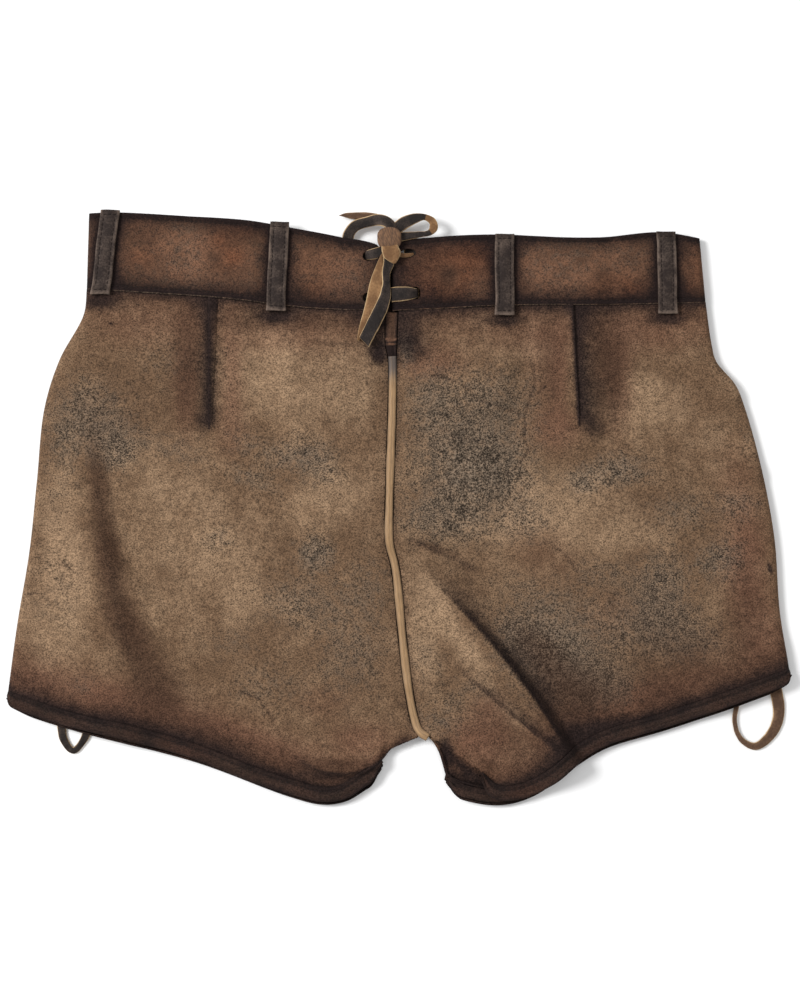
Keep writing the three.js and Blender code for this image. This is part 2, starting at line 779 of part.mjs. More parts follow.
lace(
  "lace_knot_end",
  [
    { x: -5, y: 169.5, up: 4.1, wide: 13 },
    { x: -5, y: 164, up: 4.2, wide: 13 },
    { x: -4.5, y: 160, up: 4.1, wide: 11 },
  ],
  4,
  onBand,
);
const KNOT = { x: -6, y: 177.8, rx: 8.2, ry: 7.2, rz: 3.2 };
const knot = new THREE.SphereGeometry(1, 14, 8).rotateX(Math.PI / 2);
knot.scale(KNOT.rx, KNOT.ry, KNOT.rz);
knot.translate(KNOT.x, KNOT.y, onBand(KNOT.x, KNOT.y) + 0.5 + KNOT.rz);
add("lace_knot", knot, laceLeather());

lace(
  "leg_lace_left",
  [
    { x: -222, y: -124, up: 0.3, wide: 7 },
    { x: -223, y: -143, up: 0.3, wide: 6 },
    { x: -221.5, y: -154, up: 0.3, wide: 5.5 },
    { x: -215.5, y: -161, up: 0.3, wide: 5 },
    { x: -209.5, y: -155, up: 0.3, wide: 5 },
    { x: -206, y: -147, up: 0.3, wide: 6 },
    { x: -207, y: -126, up: 0.3, wide: 7 },
  ],
  18,
  onSurface,
);
lace(
  "leg_lace_left_end",
  [
    { x: -197, y: -128, up: 0.3, wide: 8 },
    { x: -195, y: -142, up: 0.3, wide: 8 },
    { x: -188, y: -154, up: 0.3, wide: 7 },
  ],
  6,
  onSurface,
);
lace(
  "leg_lace_right",
  [
    { x: 226, y: -106, up: 0.3, wide: 7 },
    { x: 225, y: -124, up: 0.3, wide: 4 },
    { x: 222.6, y: -142, up: 0.3, wide: 2.8 },
    { x: 228, y: -155, up: 0.3, wide: 3.4 },
    { x: 237, y: -158, up: 0.3, wide: 3.6 },
    { x: 247, y: -150, up: 0.3, wide: 6 },
    { x: 251.5, y: -138, up: 0.3, wide: 7.4 },
    { x: 249.5, y: -120, up: 0.3, wide: 8.4 },
    { x: 243, y: -106, up: 0.3, wide: 8 },
  ],
  22,
  onSurface,
);

export default garment;
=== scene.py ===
"""Short suede lederhosen, lying flat with the back uppermost. Lengths are in millimetres."""

import bpy
import numpy as np
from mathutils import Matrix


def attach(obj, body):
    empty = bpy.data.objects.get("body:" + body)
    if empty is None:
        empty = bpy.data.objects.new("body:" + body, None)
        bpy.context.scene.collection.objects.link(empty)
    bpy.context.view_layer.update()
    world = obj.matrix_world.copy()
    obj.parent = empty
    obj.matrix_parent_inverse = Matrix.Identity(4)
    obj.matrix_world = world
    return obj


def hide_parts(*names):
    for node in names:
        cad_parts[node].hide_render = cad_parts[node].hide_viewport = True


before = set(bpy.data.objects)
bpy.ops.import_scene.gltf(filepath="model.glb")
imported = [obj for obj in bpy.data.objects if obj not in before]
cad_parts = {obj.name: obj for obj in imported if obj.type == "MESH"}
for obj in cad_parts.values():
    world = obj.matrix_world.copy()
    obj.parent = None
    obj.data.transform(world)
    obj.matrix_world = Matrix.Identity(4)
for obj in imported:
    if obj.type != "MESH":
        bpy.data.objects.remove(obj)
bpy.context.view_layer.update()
MM = 0.001

# ---------- camera, floor and light ----------
# A plain pale floor lit from large soft panels, as in a copy stand for garments.
# The camera looks straight down with a long lens, the waist at the top.
VIEW_CENTRE = (1.0, 5.3)
VIEW_HEIGHT = 660.0
LENS = 95.0
SENSOR = 36.0
GARMENT_MIDDLE = 6


def placed(name, data):
    """Adds an object with this data to the scene."""
    made = bpy.data.objects.new(name, data)
    bpy.context.scene.collection.objects.link(made)
    return made


camera_data = bpy.data.cameras.new("copy_camera")
camera_data.lens = LENS
camera_data.sensor_width = SENSOR
camera_data.clip_start = 0.05
camera = placed("copy_camera", camera_data)
camera_height = VIEW_HEIGHT * LENS / SENSOR + GARMENT_MIDDLE
camera.location = (VIEW_CENTRE[0] * MM, VIEW_CENTRE[1] * MM, camera_height * MM)
bpy.context.scene.camera = camera
bpy.context.scene.view_settings.view_transform = "Standard"


def linear(colour):
    """An sRGB hex colour as linear red, green, blue and alpha."""
    parts = [int(colour[i : i + 2], 16) / 255 for i in (1, 3, 5)]
    return (*[c / 12.92 if c <= 0.04045 else ((c + 0.055) / 1.055) ** 2.4 for c in parts], 1.0)


def node(tree, kind, inputs=None, **settings):
    """Adds a node with its settings. inputs gives each socket a value, or a socket to link from."""
    made = tree.nodes.new(kind)
    for name, value in settings.items():
        setattr(made, name, value)
    for socket, value in (inputs or {}).items():
        if isinstance(value, bpy.types.NodeSocket):
            tree.links.new(value, made.inputs[socket])
        else:
            made.inputs[socket].default_value = value
    return made


def new_material(name):
    material = bpy.data.materials.new(name)
    material.use_nodes = True
    material.node_tree.nodes.clear()
    return material, material.node_tree


# Matt white painted board: no gloss, so that it takes only soft shadows.
board, tree = new_material("white_board")
shade = node(tree, "ShaderNodeBsdfPrincipled", {"Base Color": linear("#f4f4f4"), "Roughness": 0.9})
node(tree, "ShaderNodeOutputMaterial", {"Surface": shade.outputs[0]})
REACH = 3.0
FLOOR_GAP = 0.4
floor_mesh = bpy.data.meshes.new("floor")
corners = [(REACH * a, REACH * b, 0) for a, b in ((-1, -1), (1, -1), (1, 1), (-1, 1))]
floor_mesh.from_pydata(corners, [], [(0, 1, 2, 3)])
floor_mesh.materials.append(board)
floor = placed("floor", floor_mesh)
floor.location.z = -FLOOR_GAP * MM

# name, place in metres, size across, power
soft_panels = [("panel_left", (-2.2, 0.75, 2.3), 1.3, 105), ("panel_above", (1.2, 1.4, 2.4), 1.6, 12)]
for name, place, across, power in soft_panels:
    light = bpy.data.lights.new(name, "AREA")
    light.shape = "DISK"
    light.size = across
    light.energy = power
    holder = placed(name, light)
    holder.location = place
    holder.rotation_euler = (-holder.location).to_track_quat("-Z", "Y").to_euler()

world = bpy.data.worlds.new("room")
world.use_nodes = True
sky = world.node_tree.nodes["Background"].inputs
sky[0].default_value = (1, 1, 1, 1)
sky[1].default_value = 0.62
bpy.context.scene.world = world

# ---------- suede panels ----------
# Each half is a flattened tube of worn brown suede: a front panel on the floor, a back panel on it,
# a fold at the side and a seam at the inner leg. The edges below are the pattern's, drawn flat;
# the leather is 1.6 mm thick.
LEATHER = 1.6
SEAM = 0.4
SIDE_ROLL = 4.5
FOLD_LEVEL = 3.3
BACK_LEVEL = 7.0
BACK_SAG = 1.2
SEAM_DIP = 0.8
BAND_LEVEL = 8.0
FRONT_DIP = 14
HALF_WAIST = 206
PANEL_LENGTH = 285
# distances from a side fold or inner seam at which its roll is drawn
ROLL_STEPS = (0.25, 0.7, 1.3, 2.0, 2.9, 3.8, 4.8)

# x, y and the gap from the seam's middle to each panel, from the waist to the crotch
centre_seam = np.array(
    [
        (-4.5, 130, 4.6), (-4.8, 108, 4.2), (-4, 98, 3.2), (-4, 71, 3.2), (-6, 5, 3.2), (-6, -22, 3.2),
        (-2, -40, 3.2), (3, -89, 3.2), (6.5, -118, 3.2), (10, -137, 3.2), (13.5, -147, 3.2),
        (19.5, -151.3, 2.6),
    ]
)
halves = {
    "left": {
        "sign": -1,
        "band_top": [
            (-13, 172), (-35, 178), (-71, 185), (-98, 189.5), (-131, 192), (-185, 195), (-204.5, 194.5),
        ],
        "band_end": -13,
        "waist": [(-60, 132.5), (-118, 139)],
        "side": [
            (-206, 145), (-208, 128), (-224, 98), (-234, 66), (-239, 18), (-244, -29), (-252, -77),
            (-258, -121),
        ],
        "inner": [(13.6, -150.8), (6.5, -151.6), (-2, -156.5), (-11, -166.5)],
        "inner_front": [(9, -151.8), (-2, -156.5), (-11, -167)],
        "hem": [
            (-27, -176), (-38, -183), (-50, -184.5), (-70, -179.5), (-98, -170), (-131, -157),
            (-178, -143.5), (-213, -135.5),
        ],
        "hem_front": [
            (-27, -176.5), (-38, -183), (-50, -184.5), (-70, -179.5), (-131, -157), (-213, -135.5),
        ],
        "lifted": False,
    },
    "right": {
        "sign": 1,
        "band_top": [(-4, 175), (27, 179), (67, 180.5), (107, 178.5), (133, 178.5), (173, 182), (199, 178)],
        "band_end": -4,
        "waist": [(67, 134), (135, 134.5)],
        "side": [
            (203, 136), (207, 108), (210, 97), (223, 81), (229, 66), (240, 26), (248.5, -20), (252, -68),
            (258, -106),
        ],
        "inner": [(37, -160), (55, -174)],
        "inner_front": [(26, -160), (31, -176)],
        "hem": [
            (66, -183), (80, -182.5), (97, -174), (112, -161), (133, -148.5), (175, -135.5), (218, -121),
        ],
        "hem_front": [
            (42, -181), (66, -185), (85, -180), (112, -161), (133, -148.5), (175, -135.5), (218, -121),
        ],
        "lifted": True,
    },
}


def ease(t):
    """A soft step from 0 to 1."""
    t = np.clip(t, 0, 1)
    return t * t * (3 - 2 * t)


def mix(a, b, t):
    return a + (b - a) * t


def falling(distance, width, power=2):
    """1 at no distance, and down to about a third at width."""
    return np.exp(-((distance / width) ** power))


def together(*coats):
    """The share covered by several coats of dye, each on what the others leave bare."""
    bare = 1
    for coat in coats:
        bare = bare * (1 - coat)
    return 1 - bare


def drawn_line(points, per_span=24):
    """A smooth line through points, as a function of the share of its length."""
    p = np.asarray(points, float)
    ends = np.vstack([2 * p[0] - p[1], p, 2 * p[-1] - p[-2]])
    knots = np.maximum(np.linalg.norm(np.diff(ends[:, :2], axis=0), axis=1) ** 0.5, 1e-6)
    made = []
    for i in range(1, len(ends) - 2):
        d0, d1, d2 = knots[i - 1 : i + 2]
        a, b, c, d = ends[i - 1 : i + 3]
        out = ((b - a) / d0 - (c - a) / (d0 + d1) + (c - b) / d1) * d1
        into = ((c - b) / d1 - (d - b) / (d1 + d2) + (d - c) / d2) * d1
        t = np.linspace(0, 1, per_span, endpoint=False)[:, None]
        made.append(
            (2 * t**3 - 3 * t**2 + 1) * b + (t**3 - 2 * t**2 + t) * out
            + (3 * t**2 - 2 * t**3) * c + (t**3 - t**2) * into
        )
    made = np.vstack([*made, p[-1:]])
    along = np.concatenate([[0], np.cumsum(np.linalg.norm(np.diff(made[:, :2], axis=0), axis=1))])
    length = along[-1]

    def at(share):
        far = np.asarray(share, float) * length
        return np.stack([np.interp(far, along, made[:, k]) for k in range(made.shape[1])], -1)

    return at, length


def front_dip(x):
    """How far the front waist lies below the back one."""
    return FRONT_DIP * (1 - np.minimum(1, np.abs(x) / HALF_WAIST)) ** 1.5


def cut_panel(side, layer):
    """The pattern of one panel: its edges, and at(u, v), its plan points. u runs from the centre or
    inner leg out to the side fold, and v from the waist down to the hem."""
    half = halves[side]
    is_front = layer == "front"

    def lower(points):
        return [(x, y - (front_dip(x) if is_front else 0)) for x, y in points]

    gap = SEAM if is_front else centre_seam[:, 2]
    seam = np.stack([centre_seam[:, 0] + half["sign"] * gap, centre_seam[:, 1]], -1)
    if side == "left":
        seam = seam[:-1]  # the seam's curl at its foot belongs to the right half
    waist_start = (seam[0, 0], centre_seam[0, 1])
    seam[0] = lower([seam[0]])[0]
    inner_leg = half["inner_front" if is_front else "inner"]
    inner, inner_length = drawn_line([*seam, *inner_leg])
    crotch = drawn_line(seam)[1] / inner_length
    fold, _ = drawn_line(half["side"])
    waist, _ = drawn_line(lower([waist_start, *half["waist"], half["side"][0]]))
    hem = half["hem_front" if is_front else "hem"]
    bottom, _ = drawn_line([inner_leg[-1], *hem, half["side"][-1]])

    def at(u, v):
        a, b = inner(v)[:, None], fold(v)[:, None]
        c, d = waist(u)[None], bottom(u)[None]
        u, v = np.asarray(u)[None, :, None], np.asarray(v)[:, None, None]
        corners = mix(mix(waist(0), waist(1), u), mix(bottom(0), bottom(1), u), v)
        return mix(a, b, u) + mix(c, d, v) - corners

    def width(v):
        return np.linalg.norm(inner(v) - fold(v), axis=-1)

    return {
        "layer": layer, "sign": half["sign"], "crotch": crotch, "at": at, "width": width, "waist": waist,
        "bottom": bottom, "lifted": half["lifted"] and not is_front,
    }


# Folds of the back: a crest from (x0, y0) to (x1, y1), bowed sideways by bow, that rises over soft
# on one side and falls over steep on the other. start is the share of the height at the first end
# and fade the share of the length over which the far end dies away.
FOLD_COLUMNS = ("x0", "y0", "x1", "y1", "bow", "height", "soft", "steep", "side", "start", "fade")
folds = [
    (11, -40, 117, -172, 7, 11, 34, 8, 1, 0, 0),  # the big fold from the seat to the right hem
    (28, -98, 114, -168, -2, 5, 15, 7, 1, 0, 0.1),  # the smaller one inside it
    (-1, -22, 47, -42, 2, 3, 14, 8, 1, 0.5, 0.5),  # below the seat
    (11, -116, 34, -119, 0, 2, 8, 8, 1, 0.6, 0.4),
    (20, -150, 62, -180, -2, 4, 14, 14, 1, 0.2, 0.2),  # the right leg's raised inner edge
    (-234, 15, -146, -95, 5, 2.6, 14, 10, 1, 0, 0.3),  # down the left leg
    (-205, 52, -176, -112, -5, 3.4, 22, 13, 1, 0.1, 0.3),  # the ridge down the left leg's outer side
    (-74, -156, -10, -166, -12, 4.4, 20, 6, -1, 0, 0.05),  # over the left hem
    (214, 96, 222, 66, 2, 2, 12, 10, 1, 0.5, 0.4),  # beside the right side fold
    (226, 20, 246, 26, 0, 1.6, 10, 8, -1, 0.2, 0.2),
    # small ones, drawn out by wear
    (-72, 112, -25, 108.5, 0, 1.5, 9, 3, -1, 0, 0),  # across the left panel, beside the gusset
    (-6, -148.5, 14, -151.5, 1, 1.3, 8, 3, -1, 0.3, 0),  # over the left leg's inner edge
    (-207, -2, -186, -26, -3, 0.9, 6, 4, 1, 0, 0.3),
    (-186, -58, -160, -84, 2, 0.9, 7, 5, 1, 0.2, 0.4),
    (230, 92, 226, 70, 1, 1.3, 9, 6, 1, 0.3, 0.3),
]


def beside(fold, x, y):
    """The row of a fold, and at each point the share of its length and the distances off and past it."""
    row = dict(zip(FOLD_COLUMNS, fold))
    length = np.hypot(row["x1"] - row["x0"], row["y1"] - row["y0"])
    dx, dy = (row["x1"] - row["x0"]) / length, (row["y1"] - row["y0"]) / length
    along = ((x - row["x0"]) * dx + (y - row["y0"]) * dy) / length
    inside = np.clip(along, 0, 1)
    across = (y - row["y0"]) * dx - (x - row["x0"]) * dy - row["bow"] * 4 * inside * (1 - inside)
    return row, inside, across * row["side"], np.maximum(0, np.abs(along - 0.5) - 0.5) * length


def fold_height(fold, x, y):
    """How far one fold lifts the leather."""
    row, inside, across, beyond = beside(fold, x, y)
    profile = 1 - ease(np.abs(across) / np.where(across > 0, row["steep"], row["soft"]))
    rise = mix(row["start"], 1, ease(inside / 0.55))
    fall = 1 - ease((inside - 1 + row["fade"]) / row["fade"]) if row["fade"] else 1
    return row["height"] * profile * rise * fall * (1 - ease(beyond / 14))


# Painted shade below the steep side of a fold: how far it reaches and how dark it is, by the fold's row
# above.
fold_shades = {
    0: (17, 1.0), 1: (9, 0.85), 2: (9, 0.6), 3: (5, 0.4), 6: (16, 0.3), 7: (6, 0.95), 8: (8, 0.3),
    9: (4, 0.4),
}


def fold_shade(x, y):
    """The painted shade below the steep sides of the folds."""
    total = 0 * x
    for place, (reach, strength) in fold_shades.items():
        _, inside, across, beyond = beside(folds[place], x, y)
        depth = falling(np.maximum(0, across), reach * (0.8 + 0.3 * ripple(x, y, 11, 13)), 1.3)
        shade = strength * depth * ease(across / 1.8) * ease((inside + 0.1) / 0.4) * (1 - ease(beyond / 10))
        total = np.maximum(total, shade)
    return total


# What is sewn to the outside of the front and holds it off the floor.
FLAP = {"x": -3, "top": 110, "bottom": -6, "half_top": 66, "half_bottom": 48}
BUTTON = 2.2
LACE = 1.4
FRONT_LOOP = 1.4
FRONT_LOOP_LENGTH = 50
buttons = {"button_waist": (-4, 137), "button_flap_left": (-50, 94), "button_flap_right": (44, 94)}
front_loops = {"loop_front_left": (-112, 160), "loop_front_right": (112, 152)}
leg_ties = [(-206, -141, 30), (238, -120, 28)]


def lift_at(x, y, px, py, height, reach, fade):
    """A mound of this height round (px, py), level to reach and gone after fade more."""
    return height * (1 - ease((np.hypot(x - px, y - py) - reach) / fade))


def over_buttons(x, y, gap, reach, fade):
    """How far the buttons hold the leather over them off the floor."""
    return np.max([lift_at(x, y, bx, by, BUTTON + gap, reach, fade) for bx, by in buttons.values()], axis=0)


def front_lift(x, y):
    """How far the front panels lie off the floor over what is sewn to their outside."""
    half = mix(FLAP["half_bottom"], FLAP["half_top"], (y - FLAP["bottom"]) / (FLAP["top"] - FLAP["bottom"]))
    outside = np.max([np.abs(x - FLAP["x"]) - half, FLAP["bottom"] - y, y - FLAP["top"], 0 * x], axis=0)
    over_flap = (LEATHER + 1) * (1 - ease((outside - 6) / 18))
    over_ties = np.max([lift_at(x, y, tx, ty, LACE + 0.6, reach, 20) for tx, ty, reach in leg_ties], axis=0)
    straight = FRONT_LOOP_LENGTH / 2 - 4
    over_loops = np.max(
        [
            lift_at(x, y, lx, np.clip(y, ly - straight, ly + straight), FRONT_LOOP + 0.6, 14, 16)
            for lx, ly in front_loops.values()
        ],
        axis=0,
    )
    return np.max([over_flap + over_buttons(x, y, 0.8, 24, 22), over_ties, over_loops], axis=0)


def back_relief(x, y):
    """How far the back lies above its level: its folds, and what lifts it from below."""
    return sum(fold_height(fold, x, y) for fold in folds) + front_lift(x, y)


# Fine cracks where the hide has been creased, each a short broken line.
cracks = [
    [(22, 88), (37, 84), (46, 78), (54, 70), (67, 66.5), (80, 62)],
    [(88, 98), (90, 83), (87, 71), (83, 61), (83.5, 46), (86, 38), (78, 27), (70, 22)],
    [(29, 53), (37, 47), (52, 43.5), (58, 43.5)],
    [(97, 81), (91, 75)],
    [(-104, -120), (-92, -127), (-82, -140)],
    [(-246, -57), (-237, -56.5)],
    [(-224, -34), (-214, -43)],
    [(98, -22), (110, -30), (118, -42)],
]
CRACK_WIDTH = 1.1


def from_cracks(x, y):
    """Distance to the nearest crack, which wavers a little."""
    x, y = x + 0.8 * ripple(x, y, 4, 6), y + 0.8 * ripple(x, y, 4, 7)
    best = np.full(np.shape(x), 99.0)
    for crack in cracks:
        for (x0, y0), (x1, y1) in zip(crack, crack[1:]):
            dx, dy = x1 - x0, y1 - y0
            t = np.clip(((x - x0) * dx + (y - y0) * dy) / (dx * dx + dy * dy), 0, 1)
            best = np.minimum(best, np.hypot(x - x0 - t * dx, y - y0 - t * dy))
    return best


def ripple(x, y, size, seed):
    """Smooth unevenness between -1 and 1, with hills about size across."""
    table = np.random.default_rng(seed).uniform(-1, 1, (64, 64))
    gx, gy = x / size, y / size
    ix, iy = np.floor(gx).astype(int), np.floor(gy).astype(int)
    fx, fy = ease(gx - ix), ease(gy - iy)
    low = mix(table[ix % 64, iy % 64], table[(ix + 1) % 64, iy % 64], fx)
    high = mix(table[ix % 64, (iy + 1) % 64], table[(ix + 1) % 64, (iy + 1) % 64], fx)
    return mix(low, high, fy)


def hide_grain(x, y):
    """The leather's own unevenness: soft waves, and small dents where it has been sat on."""
    waves = 0.35 * ripple(x, y, 34, 3) + 0.22 * ripple(x + 7, y, 15, 4) + 0.10 * ripple(x, y + 5, 6.5, 5)
    away = from_cracks(x, y)
    return waves - 0.5 * falling(away, CRACK_WIDTH) + 0.25 * falling(away - 2, 1.2)


def rolled(distance):
    """How far leather has turned at a distance from its fold, as a share of half a turn."""
    rest = 1 - np.minimum(1, np.maximum(0, distance) / SIDE_ROLL)
    return np.sqrt(np.maximum(0, 1 - rest * rest))


def turned(panel, u, v):
    """How far the leather has turned: 0 on the side fold or inner seam, 1 where it lies flat."""
    width = panel["width"](v)
    leg = 0 if panel["lifted"] else ease((v - panel["crotch"]) / 0.05)
    return rolled((1 - u) * width) * mix(1, rolled(u * width), leg)


def height_on(panel, u, v, x, y, level, sag=0.0):
    """Height of a panel's outer face, for a back that lies at level."""
    roll = turned(panel, u, v)
    lift = front_lift(x, y)
    fold = FOLD_LEVEL + 0.6 * lift
    if panel["layer"] == "front":
        return mix(fold - SEAM / 2, lift, roll)
    width = panel["width"](v)
    middle = ease((1 - u) * width / 50) * ease(u * width / 50)
    seam_dip = np.where(v < panel["crotch"], 1 - ease(u * width / 8), 0)
    uneven = hide_grain(x, y) * ease(u * width / 10) * ease((1 - u) * width / 12)
    top = level - sag * middle - SEAM_DIP * seam_dip + back_relief(x, y) + (uneven if sag else 0)
    return mix(fold + SEAM / 2, top, roll)


def set_mark(mesh, mark, values):
    """Stores one wear value for each vertex."""
    layer = mesh.attributes.new(mark, "FLOAT", "POINT")
    layer.data.foreach_set("value", np.asarray(values, np.float32).ravel())


def skin(name, outer, inner, facing, marks):
    """A closed thin mesh between two grids of points, with marks as vertex attributes."""
    rows, cols = outer.shape[:2]
    count = rows * cols
    index = np.arange(count).reshape(rows, cols)
    quads = np.stack([index[:-1, :-1], index[:-1, 1:], index[1:, 1:], index[1:, :-1]], -1).reshape(-1, 4)
    under = quads[:, ::-1] + count
    rim = np.concatenate([index[0, :-1], index[:-1, -1], index[-1, :0:-1], index[:0:-1, 0]])
    ahead = np.roll(rim, -1)
    border = np.stack([rim, rim + count, ahead + count, ahead], -1)
    faces = np.concatenate([quads, under, border])
    if facing < 0:
        faces = faces[:, ::-1]
    points = np.concatenate([outer.reshape(-1, 3), inner.reshape(-1, 3)]) * MM
    mesh = bpy.data.meshes.new(name)
    mesh.vertices.add(len(points))
    mesh.vertices.foreach_set("co", points.ravel())
    mesh.loops.add(faces.size)
    mesh.loops.foreach_set("vertex_index", faces.ravel().astype(np.int32))
    mesh.polygons.add(len(faces))
    mesh.polygons.foreach_set("loop_start", np.arange(0, faces.size, 4, dtype=np.int32))
    mesh.polygons.foreach_set("use_smooth", np.arange(len(faces)) < 2 * len(quads))
    mesh.update(calc_edges=True)
    for mark, values in marks.items():
        set_mark(mesh, mark, [values, values])
    return placed(name, mesh)


def finish(piece, cad_node, slot, *materials):
    """Gives a piece its leather and its body, and hides its CAD node; slot is not used."""
    for material in materials:
        piece.data.materials.append(material)
    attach(piece, "root")
    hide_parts(cad_node)


def wall_inside(outer, thickness, facing, roll, up=None):
    """The inner face of a wall: straight down where it lies flat, sideways where it rolls over. up is +1 or
    -1 where the whole outer face looks up or down."""
    across = np.gradient(outer, axis=1)
    down = np.gradient(outer, axis=0)
    normal = np.cross(across, down) * facing
    if up:
        normal[..., 2] = up * np.abs(normal[..., 2])
    normal[..., 2] *= roll
    for edge in (np.s_[0], np.s_[-1], np.s_[:, 0]):
        normal[edge][..., :2] *= (1 - roll[edge])[..., None]
    normal /= np.maximum(np.linalg.norm(normal, axis=-1, keepdims=True), 1e-9)
    return outer - normal * thickness


def steps(length, pitch, near_start=(), near_end=()):
    """Shares of a length: an even pitch, with extra places at these distances from its ends."""
    even = np.linspace(0, 1, max(2, int(length / pitch)))
    extra = [d / length for d in near_start] + [1 - d / length for d in near_end]
    return np.unique(np.round(np.concatenate([even, extra]), 5))
